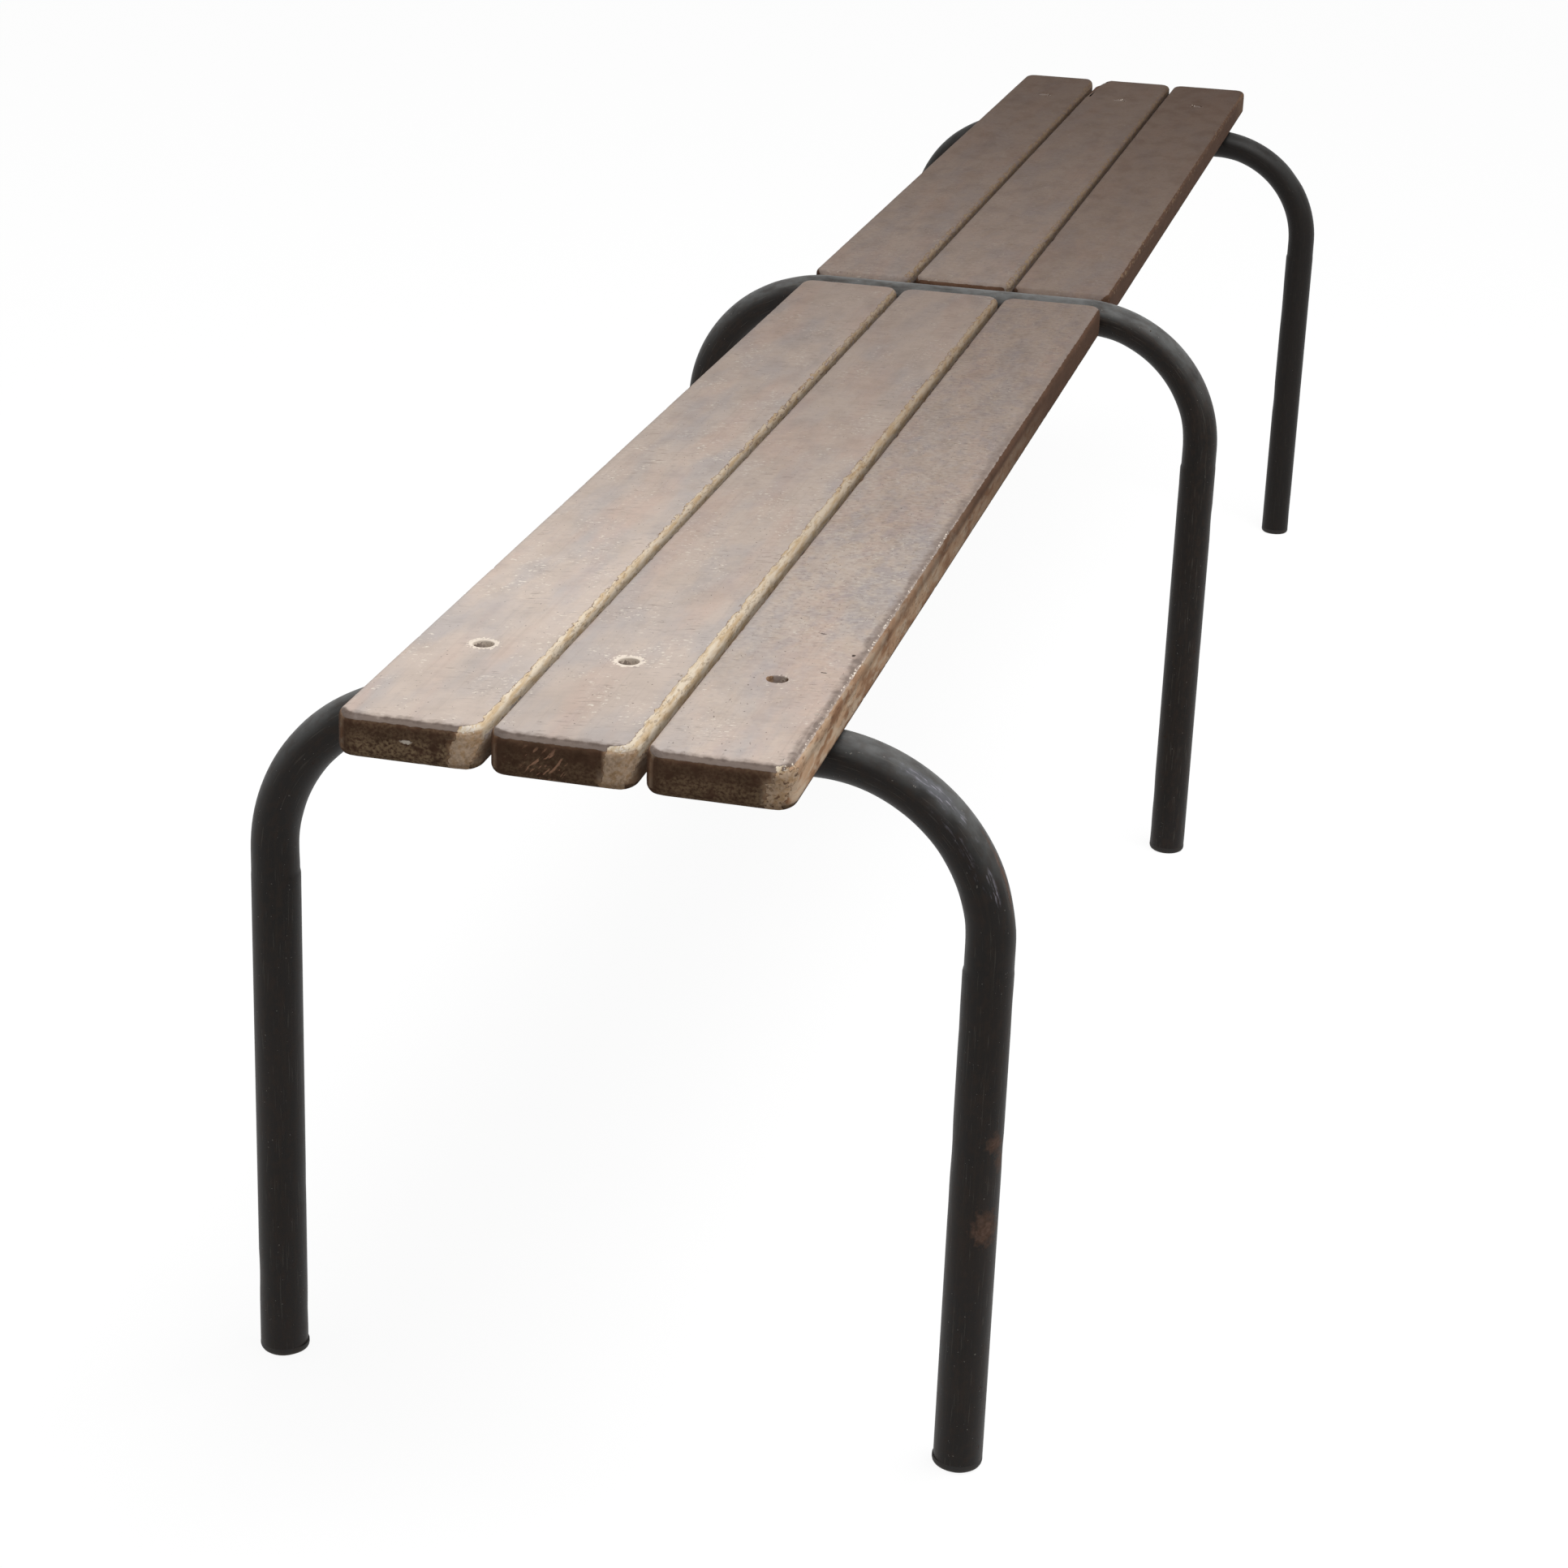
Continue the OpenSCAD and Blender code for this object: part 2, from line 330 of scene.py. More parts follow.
dark_ground = mixed(
    paint,
    "#513a2b",
    [
        (soft_tear, 0.50, "#6d4f3e"),
        (flake_tear, 0.30, "#35251b"),
        (mottled_end, 0.85, "#a68d6e"),
        (knocked, 0.88, "#be9176"),
    ],
)
ground = mixed(paint, rusty_ground, [(shade, 1.0, dark_ground)])

# %% [markdown]
# On the painted tops the eye first meets broad clouds, some warmer and some bluer, where hands and
# cleaning have polished the paint. Closer up there are short hairline marks that lie across the slats,
# a little askew, and pale and dark specks. Hairlines and specks are really about 0.3 mm wide. They are
# drawn 0.8 to 1.5 mm wide, which is as fine as a render of the whole bench can show.

# %% Paint on pine: clouds, grain and marks
askew = (0, 0, 0.23)
cool_cloud = patches(paint, place, (110, 30, 30), 0.47, 0.62, 5.0)
warm_cloud = patches(paint, place, (130, 24, 24), 0.48, 0.64, 5.0)
dull_cloud = patches(paint, place, (34, 18, 18), 0.46, 0.70, 6.0)
smears = patches(paint, place, (7, 16, 16), 0.50, 0.66, 4.0, askew)
grain_lines = patches(paint, place, (90, 1.8, 1.8), 0.56, 0.72, 2.0)
hairline_area = patches(paint, place, (50, 26, 26), 0.46, 0.60, 3.0)
hairlines = patches(paint, place, (1.5, 8, 8), 0.62, 0.67, 2.0, askew, hairline_area)
pale_crackle = patches(paint, place, (3.5, 4.5, 4.5), 0.50, 0.60, 5.0, askew, crackled)
dark_crackle = patches(paint, place, (2.6, 3.6, 3.6), 0.54, 0.64, 5.0, askew, crackled)
blue_areas = patches(paint, place, (22, 11, 11), 0.50, 0.60, 6.0, within=crackled)
tan_crackle = patches(paint, place, (12, 8, 8), 0.52, 0.62, 8.0, within=crackled)
speck_area = patches(paint, place, (40, 22, 22), 0.50, 0.60, 2.0)
pale_specks = patches(paint, place, (1.5, 3.2, 1.5), 0.63, 0.665, 2.0, askew, speck_area)
dark_specks = patches(paint, place, (2.4, 1.6, 1.6), 0.735, 0.76, 1.0)
# The browning towards the right end is partly real and partly a painted fall-off of light and sheen.
uneven_fade_and_falloff = {0: dull_cloud, 1: 0.03, 2: fade}
browning_and_light_falloff = add(paint, "ShaderNodeMath", uneven_fade_and_falloff, operation="MULTIPLY_ADD").outputs[0]
painted_top = coats_over(
    paint,
    ("#cdbdb1", 0.50, 0.0),
    [
        (cool_cloud, 0.40, "#a3a3a8", 0.46, 0.0),
        (warm_cloud, 0.32, "#cbaa9a", 0.52, 0.0),
        (dull_cloud, 0.20, "#a3958a", 0.56, 0.0),
        (smears, 0.10, "#8f8480", 0.54, 0.0),
        (blue_areas, 0.32, "#a5a1a8", 0.50, 0.0),
        (tan_crackle, 0.32, "#cfbba6", 0.56, 0.0),
        (pale_crackle, 0.35, "#ddd2c6", 0.54, 0.02),
        (dark_crackle, 0.35, "#8b807c", 0.56, -0.02),
        (grain_lines, 0.08, "#7d6d62", 0.54, -0.02),
        (hairlines, 0.38, "#6a5c55", 0.60, -0.04),
        (pale_specks, 0.80, "#efe6d8", 0.70, -0.05),
        # Browning towards the right end, partly a painted fall-off of light.
        (browning_and_light_falloff, 1.0, "#422b1a", 0.85, 0.0),
        (dark_specks, 0.55, "#33261f", 0.70, -0.06),
    ],
)

# %% Paint on pine: single marks
spot = add(paint, "ShaderNodeTexCoord").outputs["Object"]
end_chip = blot(paint, spot, (-1.0, 0.0772, 0.4305), (6, 3.6, 1.2), fine_tear)
pits = [
    blot(paint, spot, (-0.8354, -0.1078, 0.441), (2.0, 1.3, 3), fine_tear),
    blot(paint, spot, (-0.8077, -0.0849, 0.441), (0.8, 2.2, 3), fine_tear),
    blot(paint, spot, (-0.8654, -0.0989, 0.441), (0.8, 1.8, 3), fine_tear),
]

# %% Paint on pine: all the coats together
finished_board = coats_over(
    paint,
    painted_top,
    [
        (rim_worn, 0.85, "#77685f", 0.50, -0.02),
        # A dark line under the end rim, and painted shade on the left wall of the recess.
        (line_worn, 0.60, "#54463d", 0.60, -0.05),
        (brown_faces, 1.0, ground, 0.90, -0.08),
        (paint_gone, 1.0, "#705845", 0.85, -0.08),
        (ground_gone, 1.0, wood, 0.80, -0.08),
        # Pale flakes, with painted highlights and painted light on the recess walls.
        (pale_flakes_and_painted_light, 1.0, "#ecdfd0", 0.80, -0.08),
        (end_chip, 1.0, "#ecdfd0", 0.80, -0.08),
        *[(pit, 0.9, "#2c211c", 0.85, -0.10) for pit in pits],
    ],
)
shaded(paint, finished_board, Specular_IOR_Level=0.15)

# %% [markdown]
# ## The slats
# Each slat is a planed board with rounded corners and edges. It starts as a cube and is bevelled twice:
# the upright corners first, with a wide radius, and then the rims, with a small one. Cuts along planes
# give it rows that are close together at the edges, where wear has to show in the outline.

# %% Cutting a board into rows
corner_r = 12.5 * mm
corner_segments = 8
edge_r = 4 * mm
edge_segments = 6
hole_patch = 9 * mm
row_step = 2.6 * mm
cuts_across = (3, 6, 9, 12, 15, 18, 21, 24, 27, 29.5, 31.5)
cuts_up = (-6, -3, 0, 3, 6)
cuts_near_end = (4.5, 6.5, 9)
too_close = 1 * mm
lying_flat = 0.9


def block(low, high):
    """A mesh with one block in it, between two corners."""
    bm = bmesh.new()
    stretched = Matrix.Diagonal((*(high - low), 1))
    bmesh.ops.create_cube(bm, size=1, matrix=Matrix.Translation((low + high) / 2) @ stretched)
    return bm


def round_off(bm, edges, radius, segments):
    """Rounds edges with a bevel."""
    bmesh.ops.bevel(
        bm, geom=edges, offset=radius, segments=segments, profile=0.5, affect="EDGES", material=-1
    )


def cut(bm, axis, places):
    """Cuts a mesh along planes square to an axis."""
    normal = Vector([float(i == axis) for i in range(3)])
    for where in places:
        point = normal * where
        bmesh.ops.bisect_plane(bm, geom=whole(bm), dist=merge_gap, plane_co=point, plane_no=normal)


def subdivide_between(bm, start, end):
    """Divides the edges that run along X from start to end into steps of about a row."""
    span = end - start
    found = [
        edge
        for edge in bm.edges
        if abs(edge.verts[0].co.x + edge.verts[1].co.x - start - end) < merge_gap
        and abs(abs(edge.verts[0].co.x - edge.verts[1].co.x) - span) < merge_gap
    ]
    cuts = max(1, round(span / row_step)) - 1
    bmesh.ops.subdivide_edges(bm, edges=found, cuts=cuts, use_grid_fill=True)


def plain_board(low, high, hole_x, pilot_x):
    """A board with round corners and edges, in rows, with square patches of faces round its holes."""
    bm = block(low, high)
    centre = (low + high) / 2
    upright = [e for e in bm.edges if abs(e.verts[0].co.z - e.verts[1].co.z) > merge_gap]
    round_off(bm, upright, corner_r, corner_segments)
    flat = [f for f in bm.faces if abs(f.normal.z) > lying_flat]
    round_off(bm, [e for f in flat for e in f.edges], edge_r, edge_segments)
    cut(bm, 1, [centre.y] + [centre.y + side * y * mm for y in cuts_across for side in (1, -1)])
    cut(bm, 2, [centre.z + z * mm for z in cuts_up])
    near_ends = [low.x + x * mm for x in cuts_near_end] + [high.x - x * mm for x in cuts_near_end]
    stations = [low.x + corner_r, high.x - corner_r]
    for x in (hole_x - hole_patch, hole_x + hole_patch, pilot_x - hole_patch, pilot_x + hole_patch):
        if min(abs(x - station) for station in stations) > too_close and stations[0] < x < stations[1]:
            stations.append(x)
        else:
            near_ends.append(x)
    stations.sort()
    cut(bm, 0, near_ends + stations)
    for start, end in zip(stations, stations[1:]):
        subdivide_between(bm, start, end)
    return bm


# %% [markdown]
# ## The holes
# A round hole in a grid of squares needs a ring of faces that turns a square into a circle. A square
# patch is dissolved into one face, and that face is extruded again and again, each time as a smaller or
# deeper circle. For a hole right through, the same is done from below, and the last circles are bridged.

# %% Sinking a hole
def sink(bm, hole_x, hole_y, facing, steps):
    """Turns the square patch round a hole into circles of a radius and a height, and gives the last."""
    inside = [
        f
        for f in bm.faces
        if f.normal.z * facing > lying_flat
        and abs(f.calc_center_median().x - hole_x) < hole_patch
        and abs(f.calc_center_median().y - hole_y) < hole_patch
    ]
    face = bmesh.ops.dissolve_faces(bm, faces=inside)["region"][0]
    for radius, height in steps:
        face = bmesh.ops.extrude_discrete_faces(bm, faces=[face])["faces"][0]
        for vert in face.verts:
            away = Vector((vert.co.x - hole_x, vert.co.y - hole_y, 0)).normalized() * radius
            vert.co = (hole_x + away.x, hole_y + away.y, height)
    return face


def through_hole(bm, hole_x, hole_y, upper, lower):
    """A hole right through a board, with the given circles from above and from below."""
    ends = [sink(bm, hole_x, hole_y, 1, upper), sink(bm, hole_x, hole_y, -1, lower)]
    loops = [edge for face in ends for edge in face.edges]
    bmesh.ops.delete(bm, geom=ends, context="FACES_ONLY")
    bmesh.ops.bridge_loops(bm, edges=loops)


# %% [markdown]
# ## Wear on the slats
# Two things happen to a slat's mesh at the end. Its points are moved inwards a little: the edges wander
# by a few tenths of a millimetre and have chips about one millimetre deep, and two corners at the far
# end are rubbed back further. And each point gets the numbers that the paint reads: how bare, brown,
# dark, browned or flaky it is there, and where shade, shadow, light and highlights are painted. Nearly
# all of these are ramps over a distance or over the way that the surface faces, so the wear ends softly
# and the shader's noise can tear it.

# %% Masks
recess_r = 5.5


def ramp(value, start, end):
    """Goes smoothly from 0 at start to 1 at end."""
    share = min(1.0, max(0.0, (value - start) / (end - start)))
    return share * share * (3 - 2 * share)


def slat_masks(point, normal, low, high, hole, looks):
    """The numbers that the paint reads at one point of a slat. Distances here are in millimetres."""
    outward = math.copysign(1, hole.x)
    on_left = 1.0 if outward < 0 else 0.0
    in_from_end = abs(point.x - (high.x if outward > 0 else low.x)) / mm
    front = (hole.y - point.y) / mm
    depth = (high.z - point.z) / mm
    half_w = (high.y - low.y) / 2 / mm
    on_hole = math.hypot(point.x - hole.x, point.y - hole.y) / mm

    # The outer end: its face, the grey band along its upper rim, a thin line below that, a rubbed spot
    # with a painted highlight on it
    end_facing = normal.x * outward if on_hole > recess_r + 1.5 else 0.0
    upright = ramp(normal.z, 0.60, 0.15)
    on_outer_end = max(ramp(end_facing, 0.76, 0.98), upright * ramp(end_facing, 0.15, 0.40))
    on_inner_end = ramp(-end_facing, 0.45, 0.85)
    band = ramp(end_facing, 0.05, 0.22) * ramp(normal.z, 0.08, 0.25)
    thin = ramp(end_facing, 0.0, 0.12) * ramp(end_facing, 0.64, 0.36) * ramp(normal.z, 0.3, 0.6)
    end_rim = on_left * max(0.9 * band, 0.5 * ramp(in_from_end, 10, 4))
    spot_from, spot_to = looks["spot"]
    in_spot = ramp(front, spot_from, spot_from + 3) * ramp(front, spot_to + 2, spot_to)
    rubbed_and_highlight_spot = 0.62 * band * ramp(depth, 4.0, 2.5) * on_left * in_spot
    flakes = looks["flakes"] * (0.3 + 0.7 * ramp(depth, 6, 14)) * ramp(front, -34, -24)

    # The front edge, rubbed bare, and the corner of the outer end. Past a sloping line lies the painted
    # shadow of the gap: the bare wood stops there and the brown is darker.
    gone = looks["outer"] + (looks["inner"] - looks["outer"]) * ramp(in_from_end, 0, 900)
    strip = ramp(front, half_w - looks["strip"], half_w - 1) * gone
    on_corner = ramp(end_facing, 0.0, 0.3)
    gap_shadow_line = (42 - 0.54 * depth) * (1 - on_corner) + (40.5 - 0.37 * depth) * on_corner
    lit_outside_gap_shadow = ramp(gap_shadow_line - front, -0.8, 0.8)
    bare_edge = ramp(gone, 0.42, 0.50)
    ragged = 3 * noise.noise(point / (6 * mm))
    past_start = ramp(front + 0.25 * depth + ragged, *looks["corner_from"])
    corner = past_start * ramp(end_facing, 0.05, 0.2) * looks["corner"]
    dark_end = ramp(end_facing, 0.55, 0.90) * (1 - 0.8 * corner * lit_outside_gap_shadow)

    # The front side: brown, darker towards the middle, under its rim and in the painted shadow of the
    # gap, and rubbed along the rim
    along = min(1.0, in_from_end / looks["reach"])
    facing = ramp(-normal.y, 0.30, 0.80) * (1 - lit_outside_gap_shadow * bare_edge)
    dark_ground_and_gap_shadow = max(looks["dark"] + (1 - looks["dark"]) * along, 0.75 * (1 - lit_outside_gap_shadow) * bare_edge)
    under_rim = 0.35 * looks["side_rim"] * ramp(-normal.y, 0.2, 0.5) * ramp(depth, 9, 5)
    top_edge = ramp(-normal.y, 0.75, 0.30) * looks["side_rim"]
    front_rim = 0.75 * ramp(front + 2 * noise.noise(point / (14 * mm)), 28, 34) * top_edge
    clusters = 0.42 + 0.32 * noise.noise(point / (16 * mm))
    front_line = ramp(-normal.y, 0.10, 0.26) * ramp(-normal.y, 0.66, 0.45) * ramp(normal.z, 0.3, 0.6)
    # Partly pale flakes, partly a painted highlight along the rounded front edge.
    bright_line = front_line * looks["side_rim"] * clusters * on_left * ramp(in_from_end, 520, 340)

    # The bolt's recess, with a ring of bare wood round it, painted shade deep inside and on its left
    # wall, and painted light on the rest of its wall; then the sides that the eye seldom sees
    in_recess = ramp(on_hole, recess_r + 0.3, recess_r - 0.1)
    hole_wall = in_recess * ramp(depth, 0.2, 0.8)
    deep_recess_shade = in_recess * ramp(depth, 6.0, 8.0)
    hole_ring = looks["ring"] * ramp(on_hole, 11.5, 6.5) * ramp(depth, 2, 0.5)
    painted_light_on_wall = 0.8 * looks["ring"] * hole_wall * ramp(front, -4, 0)
    painted_shade_on_wall = 0.6 * looks["ring"] * hole_wall * ramp(-front, 0.5, 3.5)
    # Darker under the slat and along its lower edge: partly a brown underside, partly painted shade.
    underside_and_shade = max(ramp(-normal.z, 0.0, 0.30), ramp(depth, 18.5, 20.0))
    behind = ramp(normal.y, 0.4, 0.9)

    # Paler at the left end and browner towards the right: partly real, partly a painted fall-off of
    # light.
    pale = looks["palest_share"] * math.exp(-max(0.0, point.x - looks["fade_and_falloff_from"]) / looks["fade_and_falloff_over"])
    return {
        "bare": max(strip, corner) * lit_outside_gap_shadow,
        "brown": max(on_outer_end, on_inner_end * looks["gap"], deep_recess_shade, underside_and_shade, behind, facing),
        # Shade is how dark the brown ground is; it also holds painted shade deep in the recess, under
        # the slat and in the gap.
        "shade": max(dark_end, deep_recess_shade, underside_and_shade, behind, min(1.0, dark_ground_and_gap_shadow + under_rim)),
        # The recess walls of the right slats are painted paler, as painted light against their shade.
        "fade": (1 - pale) * (1 - 0.6 * hole_wall * (1 - on_left)),
        # Ring holds the pale flakes round the hole, painted light on the recess wall, and painted
        # highlights.
        "ring": max(hole_ring, painted_light_on_wall, rubbed_and_highlight_spot, bright_line),
        "flaky": on_outer_end * flakes,
        "scored": looks["scored"] * on_outer_end * ramp(abs(front + 7), 13, 8) * ramp(depth, 4, 7),
        "rim": max(end_rim, front_rim) * ramp(depth, 7.0, 3.0),
        "line": max(0.6 * thin * on_left, painted_shade_on_wall, 0.3 * front_rim),
        "crackled": looks["crackled"] * (0.3 + 0.7 * ramp(in_from_end, 60, 260)),
    }


# %% Chips and rubbed corners
board_steps = (0.71, 0.37)
wander_size = 35 * mm
wander_depth = 0.18
chip_size = (9, 5, 5)
chip_level = 0.30
chip_depth = 1.4
rim_wear = 0.8
corner_reach = 36
corner_width = 16


def wear_slat(bm, low, high, hole, looks):
    """Moves the points of a slat inwards where it is worn, and gives each point its masks."""
    masks = {name: bm.verts.layers.float.new(name) for name in mask_names}
    place_layer = bm.verts.layers.float_vector.new("board_place")
    shift = Vector((0, *[looks["shift"] * step for step in board_steps]))
    half = (high - low) / 2 / mm
    worn_side, worn_by = looks["worn_corner"]
    bm.normal_update()
    moves = []
    for vert in bm.verts:
        point, normal = vert.co.copy(), vert.normal.copy()
        for name, value in slat_masks(point, normal, low, high, hole, looks).items():
            vert[masks[name]] = value
        vert[place_layer] = point + shift
        inside = half - Vector([abs(part) for part in (point - (low + high) / 2) / mm])
        near_rim = min(1.0, ramp(inside.y, 5.0, 2.5) + ramp(inside.x, 5.0, 2.5))
        on_edge = near_rim * ramp(inside.z, 6.5, 3.0)
        wander = 0.5 + 0.5 * noise.noise((point + shift) / wander_size)
        stretched = Vector([part / size for part, size in zip(point, chip_size)])
        chip = max(0.0, noise.noise(stretched / mm + shift / mm) - chip_level)
        depth = wander_depth * wander * max(on_edge, 0.15) + chip_depth * on_edge * chip
        depth += rim_wear * ramp(inside.x, 5.0, 1.0) * ramp(inside.z, 5.0, 1.0)
        rubbed_corner = Vector((0, 0, 0))
        if (point.y - hole.y) * worn_side > 0 and abs(point.x) > abs(hole.x):
            share = ramp(inside.x, corner_reach, 2) * ramp(inside.y, corner_width, 0)
            rubbed_corner.y = worn_side * worn_by * share
        moves.append((vert, (normal * depth + rubbed_corner) * mm))
    for vert, move in moves:
        if math.hypot(vert.co.x - hole.x, vert.co.y - hole.y) > hole_patch:
            vert.co -= move


# %% [markdown]
# The slats were seen from their left end. In the gaps the front edges of the rear and middle slats are
# rubbed bare there; the front slat keeps more brown on its outer side. In the right section the same
# edges are browner. These differences are kept in one table of looks:
#
# - outer, inner and strip: how bare the front edge is at the outer and the inner end, and its width
# - corner and corner_from: how bare the front corner of the outer end is, and where that starts
# - dark and reach: how dark the brown ground is at the outer end, and within what length it is darkest
# - palest_share, fade_and_falloff_from and fade_and_falloff_over: how pale the paint is at its palest,
#   from where it browns, and how slowly; the browning is partly real and partly a painted fall-off of
#   light
# - ring, flakes, scored and crackled: how strong the ring round the hole is, and the flakes and the
#   knocks on the end, and the crackle on the top
# - side_rim, spot and gap: the rubbed rim of the outer side and the rubbed spot, both with a painted
#   highlight, and the brown inner end
# - worn_corner: the side (1 rear, -1 front) and the depth of a corner that is rubbed away
#
# Widths, lengths and depths in the table are in millimetres, apart from the places of the fading.

# %% How the slats differ
plain_looks = dict(
    gap=0.0, side_rim=0.0, scored=0.0, spot=(26, 34), corner_from=(24, 30), worn_corner=(1, 0)
)
left_looks = dict(plain_looks, reach=740, dark=0.3, ring=1.0)
right_looks = dict(
    plain_looks, reach=100, dark=0.8, strip=8.0, corner=0.3, ring=0.35, flakes=0.2, crackled=0.6
)
# How each row browns: partly real, partly a painted fall-off of light, set a little differently per row.
rear_fading_and_falloff = dict(palest_share=1.0, fade_and_falloff_from=-0.78, fade_and_falloff_over=0.82)
middle_fading_and_falloff = dict(palest_share=0.92, fade_and_falloff_from=-0.86, fade_and_falloff_over=0.90)
front_fading_and_falloff = dict(palest_share=0.97, fade_and_falloff_from=-1.0, fade_and_falloff_over=0.80)
slat_looks = {
    "left_rear_slat": dict(
        left_looks, **rear_fading_and_falloff, outer=0.74, inner=0.58, strip=6.5, corner=0.85, flakes=1.0,
        crackled=0.25,
    ),
    "left_middle_slat": dict(
        left_looks, **middle_fading_and_falloff, outer=1.0, inner=0.66, strip=9.0, corner=0.95, flakes=0.35,
        crackled=0.3, scored=1.0, corner_from=(23.5, 27), spot=(26, 33),
    ),
    "left_front_slat": dict(
        left_looks, **front_fading_and_falloff, outer=0.30, inner=0.30, strip=7.0, corner=0.60, flakes=0.6,
        crackled=1.0, side_rim=1.0, dark=0.0, ring=0.40, corner_from=(23.5, 28.5), spot=(30, 33),
    ),
    "right_rear_slat": dict(right_looks, **rear_fading_and_falloff, outer=0.5, inner=0.55, worn_corner=(-1, 4)),
    "right_middle_slat": dict(
        right_looks, **middle_fading_and_falloff, outer=0.5, inner=0.55, worn_corner=(1, 8), gap=1.0
    ),
    "right_front_slat": dict(right_looks, **front_fading_and_falloff, outer=0.4, inner=0.40),
}

# %% The six slats
recess_depth = 9.0
recess_rim = [
    (recess_r + 0.7, 0.0),
    (recess_r + 0.4, 0.1),
    (recess_r + 0.15, 0.35),
    *[(recess_r, depth) for depth in (0.9, 3.5, 6.2, recess_depth)],
]
bolt_hole_r = 3.25 * mm
pilot_r = 2.55 * mm
pilot_depth = 11 * mm
pilot_tip = 15 * mm
for order, (node, looks) in enumerate(slat_looks.items()):
    low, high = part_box(node)
    side = 1 if low.x > 0 else -1
    hole = Vector((side * hoop_x, (low.y + high.y) / 2, 0))
    looks["shift"] = order + 1.0
    board = plain_board(low, high, hole.x, side * screw_x)
    upper = [(radius * mm, seat_top - depth * mm) for radius, depth in recess_rim]
    upper.append((bolt_hole_r, upper[-1][1]))
    through_hole(board, hole.x, hole.y, upper, [(bolt_hole_r, low.z)])
    pilot = [(pilot_r, low.z), (pilot_r, low.z + pilot_depth), (0.5 * mm, low.z + pilot_tip)]
    sink(board, side * screw_x, hole.y, -1, pilot)
    wear_slat(board, low, high, hole, looks)
    piece("worn_" + node, board, paint, "slat", node)

# %% [markdown]
# ## Black enamel
# Real finish: satin black enamel on steel, sprayed. Sprayed enamel is even, with a faint orange peel,
# and its satin sheen turns the sky's light into a soft grey stripe along each tube. Age adds thin
# scratches along the tube, pale specks, brownish dirt, and rust where a knock has gone through. Outside
# the bends and on the middle hoop's top run the enamel is a bluish grey: partly rubbed paint, partly a
# painted sheen where those surfaces face the light. The right hoop is cleaner and blacker than the
# others.
# The pattern lies along the tube as if it were straight, so that a scratch follows the bend. The marks
# are on the near front leg; a mark's place is its X, how far outside the tube's centre line it is, and
# how far along the tube from the middle.

# %% Black enamel
def enamel(name, on_tube, marks=()):
    """Satin black enamel. Each mark is a place, half sizes in millimetres, a share, and a kind."""
    made = emptied(bpy.data.materials.new(name))
    if on_tube:
        spot = add(made, "ShaderNodeAttribute", attribute_name="tube_place").outputs["Vector"]
    else:
        spot = add(made, "ShaderNodeTexCoord").outputs["Object"]
    rubbed_and_sheen = add(made, "ShaderNodeAttribute", attribute_name="rubbed_and_sheen").outputs["Fac"]
    clean = add(made, "ShaderNodeAttribute", attribute_name="clean").outputs["Fac"]
    handled = patches(made, spot, (60, 60, 170), 0.42, 0.62, 3.0)
    dirt = patches(made, spot, (40, 40, 60), 0.42, 0.70, 5.0)
    worn = patches(made, spot, (14, 14, 50), 0.50, 0.72, 6.0)
    streaks = patches(made, spot, (2.2, 2.2, 40), 0.50, 0.72, 4.0)
    scratches = patches(made, spot, (1.1, 1.1, 22), 0.63, 0.68, 2.0)
    specks = patches(made, spot, (1.7, 1.7, 1.7), 0.75, 0.78, 1.0)
    peel = patches(made, spot, (2.5, 2.5, 2.5), 0.3, 0.7, 2.0)
    chips = patches(made, spot, (7, 7, 9), 0.72, 0.74, 5.0)
    rubbed_off_and_sheen = patches(made, spot, (9, 9, 18), 0.20, 0.56, 6.0, within=rubbed_and_sheen)
    mottled_dirt = patches(made, spot, (4, 4, 6), 0.46, 0.66, 6.0)
    tear = patches(made, spot, (3, 3, 4), 0.25, 0.75, 6.0)
    rusty_spots = patches(made, spot, (2.2, 2.2, 2.2), 0.35, 0.7, 5.0)
    rust = mixed(made, "#5f493c", [(rusty_spots, 1.0, "#80675a")])
    fine_lines = patches(made, spot, (1.0, 1.0, 7), 0.52, 0.60, 4.0)
    mark_colours = {"rust": rust, "scuff": "#7d7f88", "scratch": "#b9b4c0"}
    coats = [
        (handled, 0.55, "#241f1d", 0.42, 0.0),
        (dirt, 0.50, "#2b211a", 0.54, 0.0),
        (worn, 0.35, "#302a27", 0.44, 0.0),
        (streaks, 0.26, "#40362d", 0.52, 0.0),
        (peel, 0.30, "#120e0b", 0.46, 0.02),
        # Bluish grey outside the bends and on the top run: rubbed paint and a painted sheen.
        (rubbed_off_and_sheen, 0.70, "#6f706f", 0.46, 0.0),
        (mottled_dirt, 0.32, "#3b2e26", 0.60, 0.0),
        (scratches, 0.26, "#6b665f", 0.50, -0.03),
        (specks, 0.50, "#9a958e", 0.60, 0.03),
        (chips, 0.90, "#35271f", 0.70, -0.08),
        (clean, 0.70, "#100c09", 0.50, 0.0),
    ]
    for centre, half, share, kind in marks:
        mask = blot(made, spot, centre, half, tear, 0.7)
        if kind == "scratch":
            mask = add(made, "ShaderNodeMath", {0: mask, 1: fine_lines}, operation="MULTIPLY").outputs[0]
        coats.append((mask, share, mark_colours[kind], 0.75, -0.05))
    shaded(made, coats_over(made, ("#130e0a", 0.46, 0.0), coats), Specular_IOR_Level=0.20)
    return made


